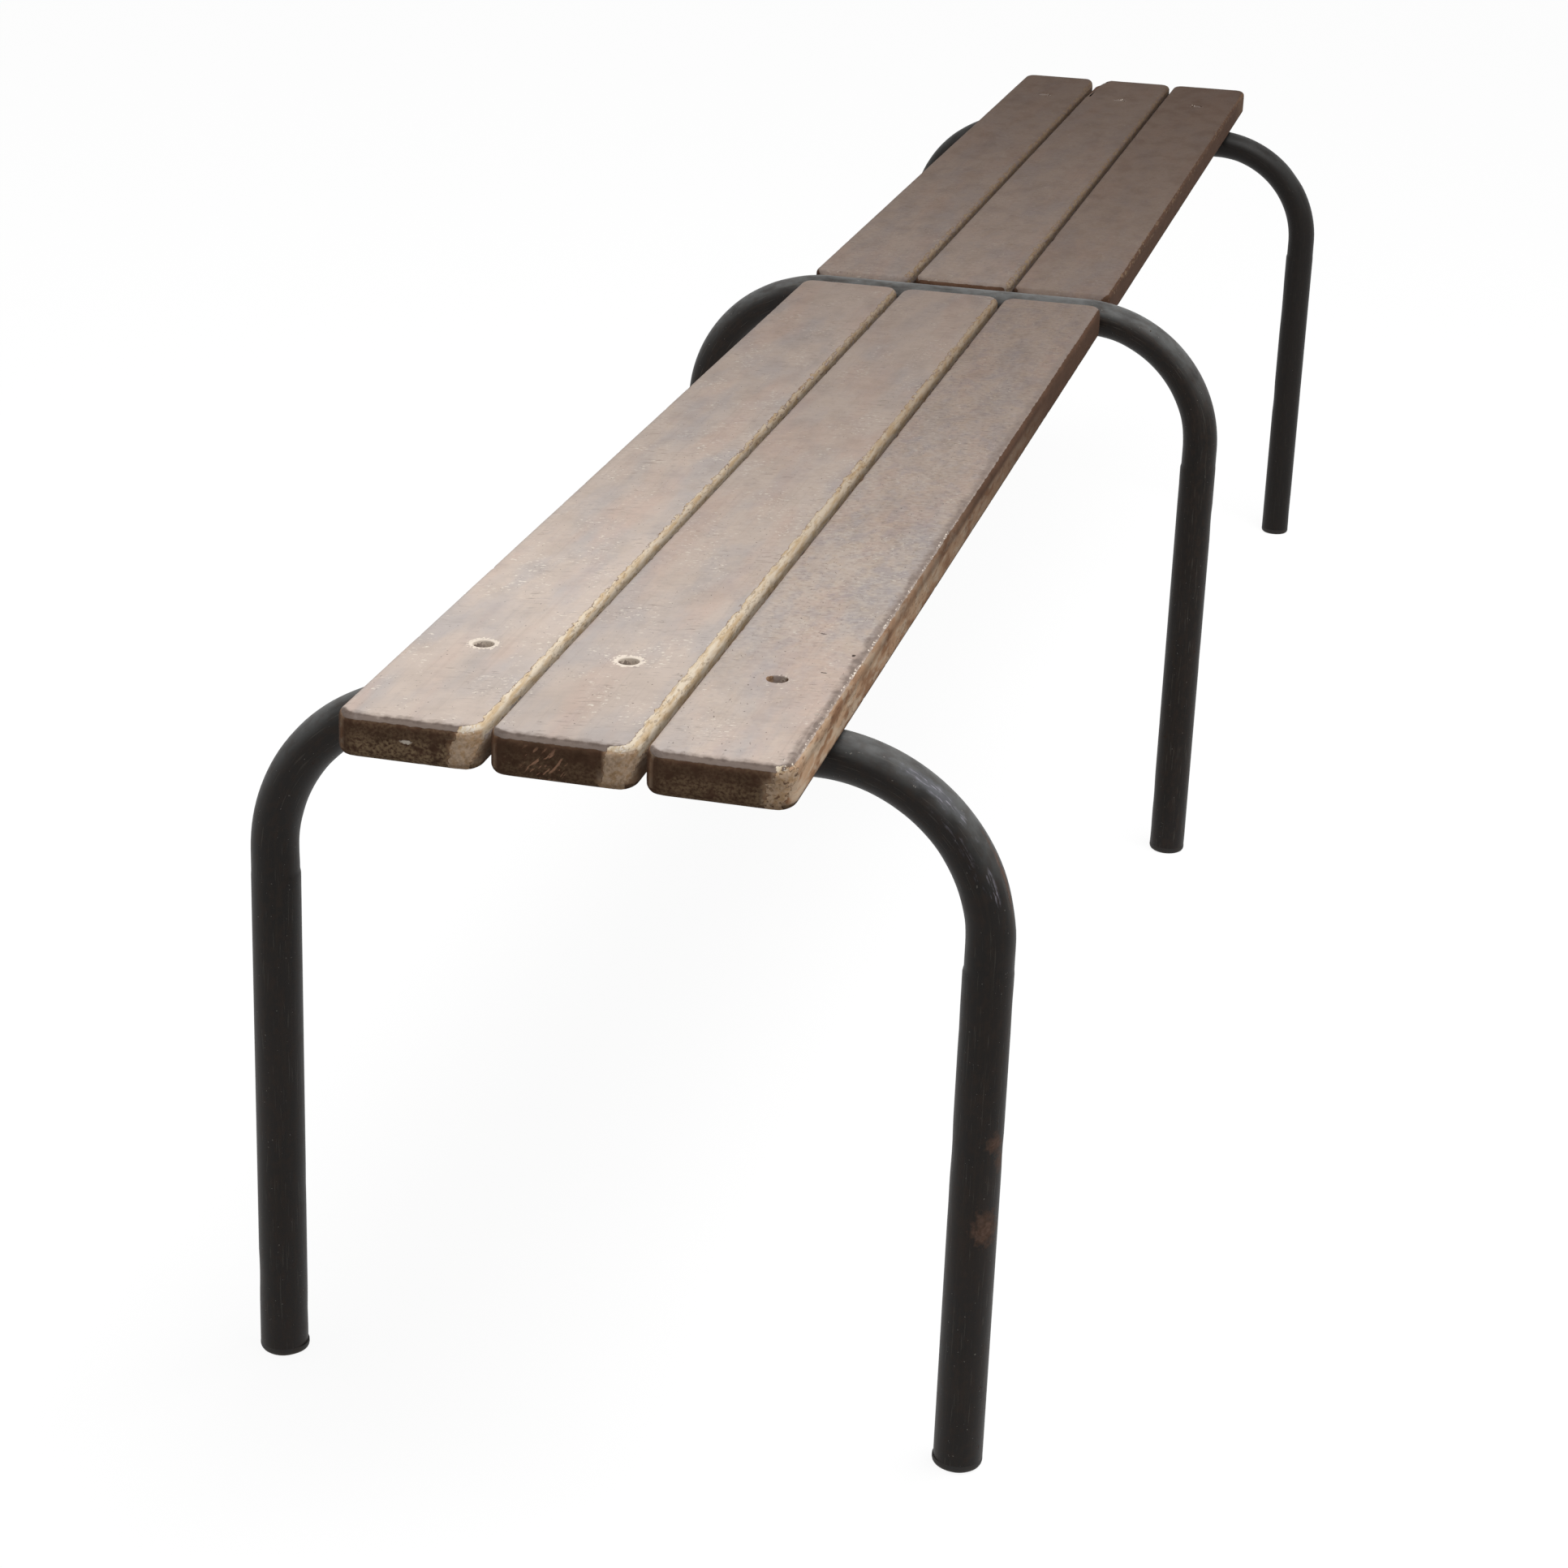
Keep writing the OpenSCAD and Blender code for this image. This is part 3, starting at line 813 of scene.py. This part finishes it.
tube_marks = [
    ((-0.8923, 0.0087, 0.4088), (9.0, 9.0, 13.0), 1.0, "rust"),
    ((-0.8899, 0.0109, 0.3590), (8.0, 6.0, 7.5), 0.8, "rust"),
    ((-0.8857, 0.0130, 0.3707), (5.0, 4.5, 8.5), 0.6, "rust"),
    ((-0.8836, 0.0135, 0.2150), (2.2, 2.5, 24.0), 0.7, "rust"),
    ((-0.8895, 0.0111, 0.1600), (5.0, 5.0, 22.0), 0.35, "scuff"),
    ((-0.8895, 0.0111, 0.1650), (3.0, 4.0, 24.0), 0.55, "scratch"),
    ((-0.8925, 0.0087, 0.2150), (2.2, 4.0, 12.0), 0.50, "scratch"),
    ((-0.8960, 0.0050, 0.1900), (2.0, 4.0, 30.0), 0.30, "scratch"),
]
tube_enamel = enamel("satin_black_enamel_on_tube", True, tube_marks)
bar_enamel = enamel("satin_black_enamel_on_flat_bar", False)

# %% [markdown]
# ## The hoops
# A tube bent over a former goes slightly oval: its inner side flattens, its sides swell a little, and a
# small shoulder stays where the former began. A circle is pushed up the leg, spun round the bend and
# pushed along the top; the half hoop is mirrored and gets its wall. The ovals come last, as a
# move of the points inside the bends.

# %% Bending a tube
bend_r = 95 * mm
tube_wall = 2.3 * mm
ring_sides = 40
inner_flattening = 0.06
outer_flattening = 0.02
side_swelling = 0.02
clamped = 12 * mm
shoulder = 3 * mm
shoulder_share = 0.8
easing = 35 * mm
leg_rows = 44
clamped_rows = 12
bend_rows = 36
top_rows = 16
rub_and_sheen_start = 10 * mm
rub_and_sheen_full = 80 * mm
dent_size = 28 * mm
dent_level = 0.25
dent_depth = 0.7 * mm


def push(bm, loop, move, steps):
    """Extrudes a loop of edges along a straight line, in equal steps, and gives the last loop."""
    for _ in range(steps):
        made = bmesh.ops.extrude_edge_only(bm, edges=loop)["geom"]
        fresh = only(bmesh.types.BMVert, made)
        loop = [e for e in only(bmesh.types.BMEdge, made) if all(v in fresh for v in e.verts)]
        bmesh.ops.translate(bm, verts=fresh, vec=move / steps)
    return loop


def half_hoop(x, top):
    """Half a hoop as a thin skin: leg, bend, and the top run as far as the middle."""
    bm = bmesh.new()
    foot_z = tube_low.z
    start = Matrix.Translation((x, leg_y, foot_z))
    verts = bmesh.ops.create_circle(bm, segments=ring_sides, radius=tube_r, matrix=start)["verts"]
    loop = list({edge for vert in verts for edge in vert.link_edges})
    bend_z = top - bend_r
    straight = bend_z - foot_z - clamped - shoulder
    loop = push(bm, loop, Vector((0, 0, straight)), leg_rows)
    loop = push(bm, loop, Vector((0, 0, clamped + shoulder)), clamped_rows)
    points = list({vert for edge in loop for vert in edge.verts})
    centre = (x, leg_y - bend_r, bend_z)
    quarter = math.radians(90)
    turned = bmesh.ops.spin(
        bm, geom=points + loop, cent=centre, axis=(1, 0, 0), angle=quarter, steps=bend_rows
    )
    push(bm, only(bmesh.types.BMEdge, turned["geom_last"]), Vector((0, bend_r - leg_y, 0)), top_rows)
    return bm


def along_tube(point, centre):
    """The way out of the bend in Y and Z, the distance outside the centre line, and that along it."""
    aside, rise = abs(point.y) - centre.x, point.z - centre.y
    if aside > 0 and rise > 0:
        way_out = Vector((aside, rise))
        turn = math.atan2(aside, rise)
        return way_out.normalized(), way_out.length - bend_r, centre.x + turn * bend_r
    if aside > 0:
        return Vector((1, 0)), aside - bend_r, centre.x + math.pi / 2 * bend_r - rise
    return Vector((0, 1)), rise - bend_r, abs(point.y)


def flattened(past_leg, past_top):
    """How far a bend has flattened the tube, at distances past its two ends."""
    sudden = shoulder_share * ramp(past_leg, -clamped - shoulder, -clamped)
    slow = (1 - shoulder_share) * ramp(past_leg, -clamped, easing)
    return min(sudden + slow, ramp(past_top, -clamped, easing))


def bend_oval(bm, x, top):
    """Flattens the tube round its bends, dents it slightly all over, and marks rubbed paint and painted
    sheen.
    """
    rubbed_and_sheen = bm.verts.layers.float.new("rubbed_and_sheen")
    clean = bm.verts.layers.float.new("clean")
    place_layer = bm.verts.layers.float_vector.new("tube_place")
    centre = Vector((leg_y - bend_r, top - bend_r))
    bend_end = centre.x + math.pi / 2 * bend_r
    bm.normal_update()
    for vert in bm.verts:
        way_out, off_centre, along = along_tube(vert.co, centre)
        side = math.copysign(1, vert.co.y)
        vert[place_layer] = (vert.co.x, off_centre, -side * along)
        vert[clean] = 1.0 if x > tube_r else 0.0
        facing_out = way_out.x * side * vert.normal.y + way_out.y * vert.normal.z
        # Rubbed paint and a painted sheen, on the outer side of the bends and along the top run.
        past_rub_and_sheen = ramp(along, bend_end - rub_and_sheen_start, bend_end - rub_and_sheen_full)
        vert[rubbed_and_sheen] = ramp(facing_out, 0.15, 0.90) * past_rub_and_sheen
        share = flattened(bend_end - along, along - centre.x)
        flattening = inner_flattening if off_centre < 0 else outer_flattening
        move = way_out * (-off_centre * flattening * share)
        vert.co.y += side * move.x
        vert.co.z += move.y
        vert.co.x = x + (vert.co.x - x) * (1 + side_swelling * share)
    bm.normal_update()
    for vert in bm.verts:
        vert.co -= vert.normal * max(0.0, noise.noise(vert.co / dent_size) - dent_level) * dent_depth


def bent_hoop(name, node):
    """A whole hoop, with its wall."""
    low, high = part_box(node)
    x, top = (low.x + high.x) / 2, high.z - tube_r
    bm = half_hoop(x, top)
    bmesh.ops.mirror(bm, geom=whole(bm), matrix=Matrix.Identity(4), merge_dist=merge_gap, axis="Y")
    bmesh.ops.recalc_face_normals(bm, faces=bm.faces)
    bend_oval(bm, x, top)
    bmesh.ops.solidify(bm, geom=bm.faces, thickness=tube_wall)
    piece(name, bm, tube_enamel, "tube", node)


for node in ("left_hoop", "middle_hoop", "right_hoop"):
    bent_hoop("bent_" + node, node)

# %% [markdown]
# ## The ledgers and their welds
# Two flat bars carry the slats' inner ends. A flat bar is rolled, so its long edges are slightly round.
# Beside the tube each bar is ground to a slope, and there it is welded from below in short runs. A bar
# is a cube with bevelled edges, one plane cut and three drilled holes.

# %% Flat bars
bar_edge_r = 0.7 * mm
bar_hole_r = 2.75 * mm
bar_rim_r = 3.1 * mm
bar_rim_depth = 0.3 * mm
bar_grid = (-9, -6, -3, 0, 3, 6, 9)
slope_angle = math.radians(-56.5)


def flat_bar(node):
    """One flat bar with its slope and its screw holes."""
    low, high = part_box(node)
    side = math.copysign(1, low.x)
    bm = block(low, high)
    round_off(bm, bm.edges[:], bar_edge_r, 3)
    slope = Vector((side * math.cos(slope_angle), 0, math.sin(slope_angle)))
    touch = Vector((0, 0, middle_z)) + slope * tube_r
    sliced = bmesh.ops.bisect_plane(
        bm, geom=whole(bm), dist=merge_gap, plane_co=touch, plane_no=slope, clear_inner=True
    )["geom_cut"]
    bmesh.ops.edgenet_fill(bm, edges=only(bmesh.types.BMEdge, sliced))
    hole_x = side * screw_x
    cut(bm, 0, [hole_x + step * mm for step in bar_grid])
    cut(bm, 1, [row * row_pitch + step * mm for row in rows for step in bar_grid])
    upper = [(bar_rim_r, high.z), (bar_hole_r, high.z - bar_rim_depth)]
    lower = [(bar_rim_r, low.z), (bar_hole_r, low.z + bar_rim_depth)]
    for row in rows:
        through_hole(bm, hole_x, row * row_pitch, upper, lower)
    piece("drilled_" + node, bm, bar_enamel, "flat_bar", node)


for node in ("left_ledger", "right_ledger"):
    flat_bar(node)

# %% [markdown]
# Welds, bolts, nuts, screws and foot plugs are all round about an axis, though some have six-sided,
# cross-shaped or threaded stretches. One function stacks rings of points into a solid. The radius of a
# ring may be a function of the angle, which gives the hexagons, the cross recess and a true spiral
# thread. A first or last ring with a radius near nothing closes the solid.

# %% Stacking rings
pole = 0.01


def stacked(bm, place, levels, sides=48):
    """Adds a solid of rings to a mesh. Each level is a height and a radius or outline, in mm."""
    added, ring = [], []
    for height, radius in levels:
        if ring:
            made = bmesh.ops.extrude_edge_only(bm, edges=ring)["geom"]
            verts = only(bmesh.types.BMVert, made)
        else:
            verts = bmesh.ops.create_circle(bm, segments=sides, radius=1)["verts"]
        fresh = set(verts)
        ring = list({e for v in verts for e in v.link_edges if fresh.issuperset(e.verts)})
        for vert in verts:
            angle = math.atan2(vert.co.y, vert.co.x)
            reach = radius(angle) if callable(radius) else radius
            vert.co = Vector((reach * math.cos(angle), reach * math.sin(angle), height)) * mm
        added += verts
    bmesh.ops.transform(bm, matrix=place, verts=added)


def hexagon(across_flats, limit=math.inf):
    """A hexagon's outline, whose corners a circle may cut off."""

    def reach(angle):
        turned = (angle + math.pi / 6) % (math.pi / 3) - math.pi / 6
        return min(across_flats / 2 / math.cos(turned), limit)

    return reach


def cross(arm, half_width):
    """The outline of a cross recess."""

    def reach(angle):
        turned = abs((angle + math.pi / 4) % (math.pi / 2) - math.pi / 4)
        return min(arm / math.cos(turned), half_width / max(math.sin(turned), 0.01))

    return reach


def thread(height, pitch, radius, depth):
    """The outline of a spiral thread at one height."""

    def reach(angle):
        turn = (height / pitch - angle / math.tau) % 1
        return radius - depth * abs(2 * turn - 1)

    return reach


def threaded(start, end, step, pitch, radius, depth):
    """The levels of a threaded stretch."""
    count = round(abs(end - start) / step)
    heights = [start + (end - start) * i / count for i in range(count + 1)]
    return [(height, thread(height, pitch, radius, depth)) for height in heights]


# %% [markdown]
# A weld run is a bead with ripples, one for each pulse of the arc, about 3 mm apart. The runs are 24 to
# 30 mm long, with gaps between them, so that the bar doesn't warp. They are the only pieces that the
# frame doesn't have.

# %% Weld beads
bead_r = 2.1
bead_step = 0.75
ripple = 3.0
ripple_height = 0.08
unevenness = 0.10
bead_runs = ((-84, 24), (-32, 27), (30, 30), (86, 24))
bead_shift = 2
beside_tube = 3.9 * mm
bead_drop = 0.1 * mm


def bead(bm, x, y, length):
    """Adds one weld run along Y."""
    count = round(length / bead_step)
    levels = []
    for i in range(count + 1):
        along = (i / count - 0.5) * length
        taper = math.sqrt(max(0.0, 1 - abs(2 * along / length) ** 6))
        rippled = ripple_height * abs(math.sin(math.pi * along / ripple))
        uneven = unevenness * noise.noise((x / mm, along / 4, y / mm))
        levels.append((along, max(pole, bead_r * taper * (1 + rippled + uneven))))
    lie_down = Matrix.Rotation(math.radians(90), 4, "X")
    stacked(bm, Matrix.Translation((x, y, middle_z - tube_r - bead_drop)) @ lie_down, levels, sides=20)


for side, section in sections:
    bm = bmesh.new()
    for y, length in bead_runs:
        bead(bm, side * beside_tube, (y + bead_shift * side) * mm, length)
    piece(section + "_ledger_welds", bm, bar_enamel, "flat_bar")

# %% [markdown]
# ## Zinc-plated fixings
# Real finish: bright zinc plate that has gone dull. Zinc is a bluish grey metal; age gives it a matte,
# cloudy grey bloom and a few brown freckles. The bolt heads sit in open recesses and gather old paint
# and grime, so they shine less than the nuts, washers and screws below. Metals keep the default IOR.

# %% Zinc plate
def zinc_plate(name, metal, bloom, grime_share, metallic):
    """Dull zinc plate, with the given colours, a share of brown grime, and how metallic it still is."""
    made = emptied(bpy.data.materials.new(name))
    spot = add(made, "ShaderNodeTexCoord").outputs["Object"]
    cloudy = patches(made, spot, (3, 3, 3), 0.40, 0.62, 5.0)
    grime = patches(made, spot, (5, 5, 5), 0.42, 0.66, 5.0)
    freckles = patches(made, spot, (1.2, 1.2, 1.2), 0.68, 0.72, 2.0)
    coats = [
        (cloudy, 0.65, bloom, 0.62, 0.01),
        (grime, grime_share, "#3d2f24", 0.75, 0.02),
        (freckles, 0.70, "#6b4a30", 0.85, 0.03),
    ]
    shaded(made, coats_over(made, (metal, 0.42, 0.0), coats), Metallic=metallic)
    return made


tarnished_zinc = zinc_plate("tarnished_zinc_plate_on_bolts", "#a39c94", "#8b847c", 0.45, 0.35)
dull_zinc = zinc_plate("dull_zinc_plate_on_hardware", "#a3a39f", "#7f807d", 0.3, 0.85)

# %% [markdown]
# The bolts are cap screws with a hexagon socket and a ridged head. Only their lower end is threaded.
# Washers have a rounded rim from stamping, and nuts have chamfered corners; each nut stops at another
# angle, as hand-tightened nuts do.

# %% Bolts, washers and nuts
bolt_low, bolt_high = [corner.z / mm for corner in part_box("right_bolts")]
washer_low, washer_high = [corner.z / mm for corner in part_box("right_washers")]
nut_low, nut_high = [corner.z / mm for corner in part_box("right_nuts")]


socket_flats = 4.0
bolt_head_r = 4.92
bolt_r = 3.0
bolt_thread = (1.0, bolt_r, 0.55)
washer_hole_r = 3.25
nut_flats = 10.0
nut_bore_r = 3.05


def ridged(angle):
    """The outline of a bolt head with 24 fine ridges."""
    return bolt_head_r + 0.06 * math.cos(24 * angle)


bolt_levels = [
    (bolt_high - 2.9, pole),
    (bolt_high - 2.4, hexagon(socket_flats)),
    (bolt_high - 0.25, hexagon(socket_flats)),
    (bolt_high, hexagon(socket_flats + 0.4, 2.45)),
    (bolt_high, 4.3),
    (bolt_high - 0.35, 4.85),
    (bolt_high - 0.7, ridged),
    (bolt_high - 3.7, ridged),
    (bolt_high - 4.0, 4.8),
    (bolt_high - 4.0, 3.2),
    (bolt_high - 4.3, bolt_r),
    (nut_high + 6, bolt_r),
    *threaded(nut_high + 5.5, bolt_low + 0.4, 0.125, *bolt_thread),
    (bolt_low, 2.3),
    (bolt_low, pole),
]
washer_levels = [
    (washer_low, washer_hole_r),
    (washer_low, 6.7),
    (washer_low + 0.25, 7.0),
    (washer_high - 0.35, 7.0),
    (washer_high, 6.6),
    (washer_high, washer_hole_r),
    (washer_low, washer_hole_r),
]
nut_side = [
    (0.0, 3.5),
    (0.0, hexagon(nut_flats, 4.7)),
    (0.45, hexagon(nut_flats, 5.4)),
    (0.8, hexagon(nut_flats)),
]
nut_levels = [
    *[(nut_low + inwards, outline) for inwards, outline in nut_side],
    *[(nut_high - inwards, outline) for inwards, outline in reversed(nut_side)],
    (nut_high - 0.45, nut_bore_r),
    (nut_low + 0.45, nut_bore_r),
    (nut_low, 3.5),
]


def in_rows(x, levels, turns):
    """The same solid in each of the three rows of slats, each turned by its own angle."""
    bm = bmesh.new()
    for row, turn in zip(rows, turns):
        stacked(bm, Matrix.Translation((x, row * row_pitch, 0)) @ Matrix.Rotation(turn, 4, "Z"), levels)
    return bm


fixings = [
    ("threaded", "bolts", bolt_levels, tarnished_zinc, "bolt"),
    ("stamped", "washers", washer_levels, dull_zinc, "zinc_hardware"),
    ("chamfered", "nuts", nut_levels, dull_zinc, "zinc_hardware"),
]
for side, section in sections:
    for made, kind, levels, finish, slot in fixings:
        bm = in_rows(side * hoop_x, levels, (0.3 + side, 1.1, 2.0 - side))
        piece(f"{made}_{section}_{kind}", bm, finish, slot, f"{section}_{kind}")

# %% [markdown]
# The ledgers' wood screws have a round head with a cross recess, and a coarse thread that bites into
# the slats.

# %% Ledger screws
screw_low, screw_high = [corner.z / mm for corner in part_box("right_ledger_screws")]
bar_low, bar_high = [corner.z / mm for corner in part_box("right_ledger")]
screw_neck_r = 2.45
screw_thread = (2.4, 2.5, 0.6)
screw_levels = [
    (screw_low + 2.3, pole),
    (screw_low + 2.1, cross(0.9, 0.4)),
    (screw_low + 0.35, cross(2.1, 0.72)),
    (screw_low + 0.6, 2.5),
    (screw_low + 0.9, 2.95),
    (screw_low + 1.42, 3.6),
    (screw_low + 2.09, 4.2),
    (screw_low + 2.7, 4.6),
    (bar_low, 4.72),
    (bar_low, screw_neck_r),
    (bar_high, screw_neck_r),
    *threaded(bar_high + 0.3, screw_high - 4, 0.3, *screw_thread),
    (screw_high - 1.5, 1.0),
    (screw_high, pole),
]
for side, section in sections:
    screws = in_rows(side * screw_x, screw_levels, (0.5, 1.4 + side, 0.1))
    piece(f"cross_head_{section}_screws", screws, dull_zinc, "zinc_hardware", f"{section}_ledger_screws")

# %% [markdown]
# ## The foot plugs
# Real finish: black moulded plastic, scuffed. A mould with a fine spark-eroded texture gives a matte
# black; dragging over floors turns the lower edge grey and brown. Each plug has a rounded lower edge, a
# hollow underneath, and a stem with two ribs that grip inside the tube. Plugs are squeezed out of round
# by the bench's weight, each a little differently, and three of them bulge. The list gives the bulge's
# direction in degrees and its size in millimetres.

# %% Scuffed plastic
plastic = emptied(bpy.data.materials.new("scuffed_moulded_black_plastic"))
spot = add(plastic, "ShaderNodeTexCoord").outputs["Object"]
scuffs_from = 3.2 * mm
scuffs_full = 0.2 * mm
height = add(plastic, "ShaderNodeSeparateXYZ", {0: spot}).outputs["Z"]
low_down = {"Value": height, "From Min": scuffs_from, "From Max": scuffs_full}
near_floor = add(plastic, "ShaderNodeMapRange", low_down).outputs[0]
scuffed = patches(plastic, spot, (3, 3, 1.2), 0.35, 0.65, 5.0, within=near_floor)
mould_texture = patches(plastic, spot, (0.7, 0.7, 0.7), 0.3, 0.7, 2.0)
dusty = patches(plastic, spot, (6, 6, 4), 0.42, 0.66, 5.0)
moulded = coats_over(
    plastic,
    ("#191614", 0.58, 0.0),
    [
        (mould_texture, 0.35, "#262220", 0.64, 0.03),
        (dusty, 0.40, "#3b332b", 0.75, 0.0),
        (scuffed, 0.75, "#5b5146", 0.80, -0.05),
    ],
)
shaded(plastic, moulded, Specular_IOR_Level=0.35)

# %% Foot plugs
unround = 0.25
stem_r = 10.5
rib_r = 11.1
plug_bore_r = 8.65
squeezes = {
    "left_rear_foot": (-90, 0.9),
    "left_front_foot": (110, 0.7),
    "middle_front_foot": (60, 0.3),
}


def squeezed(radius, number, node):
    """The outline of a plug's head, a little out of round, with a bulge in one direction on some."""
    bulge_angle, bulge = squeezes.get(node, (0, 0.0))

    def reach(angle):
        lump = unround * noise.noise((math.cos(angle), math.sin(angle), number))
        off = abs((angle - math.radians(bulge_angle) + math.pi) % math.tau - math.pi)
        return radius + lump + bulge * ramp(off, 0.9, 0.0)

    return reach


tube_end = tube_low.z / mm
feet = [f"{where}_{side}_foot" for where in ("left", "middle", "right") for side in ("front", "rear")]
for number, node in enumerate(feet):
    low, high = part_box(node)
    stem_top = high.z / mm
    plug_levels = [
        (0.8, pole),
        (0.8, 6.5),
        (0.5, 7.0),
        (0.0, 7.6),
        (0.0, 10.6),
        (0.25, 11.8),
        (0.9, squeezed(12.7, number, node)),
        (1.9, squeezed(13.3, number, node)),
        (3.0, squeezed(13.55, number, node)),
        (tube_end - 0.3, squeezed(13.5, number, node)),
        (tube_end, 13.45),
        (tube_end, rib_r),
        (tube_end + 6, rib_r),
        (tube_end + 6.5, stem_r),
        (tube_end + 12, stem_r),
        (tube_end + 12.5, rib_r),
        (tube_end + 16, rib_r),
        (stem_top, 10.4),
        (stem_top, plug_bore_r),
        (tube_end + 1.5, plug_bore_r),
        (tube_end + 1.0, pole),
    ]
    bm = bmesh.new()
    stacked(bm, Matrix.Translation(((low.x + high.x) / 2, (low.y + high.y) / 2, 0)), plug_levels)
    piece("moulded_" + node, bm, plastic, "foot_plug", node)

# %% [markdown]
# ## Stage, light and camera
# The floor is plain and pale. To the camera and in reflections it is nearly white and keeps a soft
# shadow; as a source of bounced light it is a middling grey, so that the ends and undersides stay dark.
# The world does the same. Both ask the Light Path node what kind of ray has arrived.

# %% Rays that should meet white
def sees_white(owner):
    """Is 1 for rays from the camera, and for rays that were reflected or passed through glass."""
    rays = add(owner, "ShaderNodeLightPath").outputs
    direct = {0: rays["Is Camera Ray"], 1: rays["Is Glossy Ray"]}
    either = add(owner, "ShaderNodeMath", direct, operation="MAXIMUM").outputs[0]
    through = {0: either, 1: rays["Is Transmission Ray"]}
    return add(owner, "ShaderNodeMath", through, operation="MAXIMUM").outputs[0]


# %% Floor
floor_finish = emptied(bpy.data.materials.new("plain_pale_floor"))
bouncing_grey = [0.25, 0.25, 0.25, 1]
shadow_grey = [0.14, 0.14, 0.14, 1]
floor_glow = 0.915
grey_floor = add(floor_finish, "ShaderNodeBsdfDiffuse", {"Color": bouncing_grey})
soft_shadow = add(floor_finish, "ShaderNodeBsdfDiffuse", {"Color": shadow_grey})
white = add(floor_finish, "ShaderNodeEmission", {"Color": [1, 1, 1, 1], "Strength": floor_glow})
pale = add(floor_finish, "ShaderNodeAddShader", {0: soft_shadow.outputs[0], 1: white.outputs[0]})
ways = {0: sees_white(floor_finish), 1: grey_floor.outputs[0], 2: pale.outputs[0]}
floor_shader = add(floor_finish, "ShaderNodeMixShader", ways)
add(floor_finish, "ShaderNodeOutputMaterial", {0: floor_shader.outputs[0]})
floor_mesh = bpy.data.meshes.new("floor")
floor_bm = bmesh.new()
bmesh.ops.create_grid(floor_bm, x_segments=1, y_segments=1, size=40)
floor_bm.to_mesh(floor_mesh)
floor_bm.free()
floor_mesh.materials.append(floor_finish)
placed("floor", floor_mesh)

# %% World and lamp
room_light = 0.42
world = emptied(bpy.data.worlds.new("studio"))
bpy.context.scene.world = world
room = add(world, "ShaderNodeBackground", {"Color": [1, 1, 1, 1], "Strength": room_light})
backdrop = add(world, "ShaderNodeBackground", {"Color": [1, 1, 1, 1], "Strength": 1.0})
ways = {0: sees_white(world), 1: room.outputs[0], 2: backdrop.outputs[0]}
add(world, "ShaderNodeOutputWorld", {0: add(world, "ShaderNodeMixShader", ways).outputs[0]})

key = bpy.data.lights.new("key_softbox", "AREA")
key.shape = "RECTANGLE"
key.size, key.size_y = 1.6, 1.2
key.energy = 42
key_place = Vector((-0.55, -0.75, 2.6))
key_target = Vector((-0.2, 0, 0.4))
key_object = placed("key_softbox", key)
key_object.location = key_place
key_object.rotation_euler = (key_target - key_place).to_track_quat("-Z", "Y").to_euler()
print("the lamp is", round((key_target - key_place).length, 2), "m from the seat")

# %% [markdown]
# The camera stands at the left end, a little in front of the seat's line, and looks down along it with a
# long lens. The picture was framed with the bench below the middle of the lens, hence the small shift.

# %% Camera
camera_place = Vector((-2352.44, -424.66, 1002.79)) * mm
camera_yaw = 0.2296
camera_pitch = 0.3397
camera_roll = 0.0384
camera_shift = -0.1
picture_size = 1932
focal_pixels = 3912.0
camera = bpy.data.cameras.new("camera")
camera.sensor_width = 36
camera.lens = focal_pixels / picture_size * camera.sensor_width
camera.shift_y = camera_shift
level = math.cos(camera_pitch)
looking = Vector((level * math.cos(camera_yaw), level * math.sin(camera_yaw), -math.sin(camera_pitch)))
upright_turn = looking.to_track_quat("-Z", "Y").to_matrix()
camera_object = placed("camera", camera)
camera_object.rotation_euler = (upright_turn @ Matrix.Rotation(camera_roll, 3, "Z")).to_euler()
camera_object.location = camera_place
bpy.context.scene.camera = camera_object
bpy.context.scene.view_settings.view_transform = "Standard"
print("the lens is", round(camera.lens, 1), "mm")
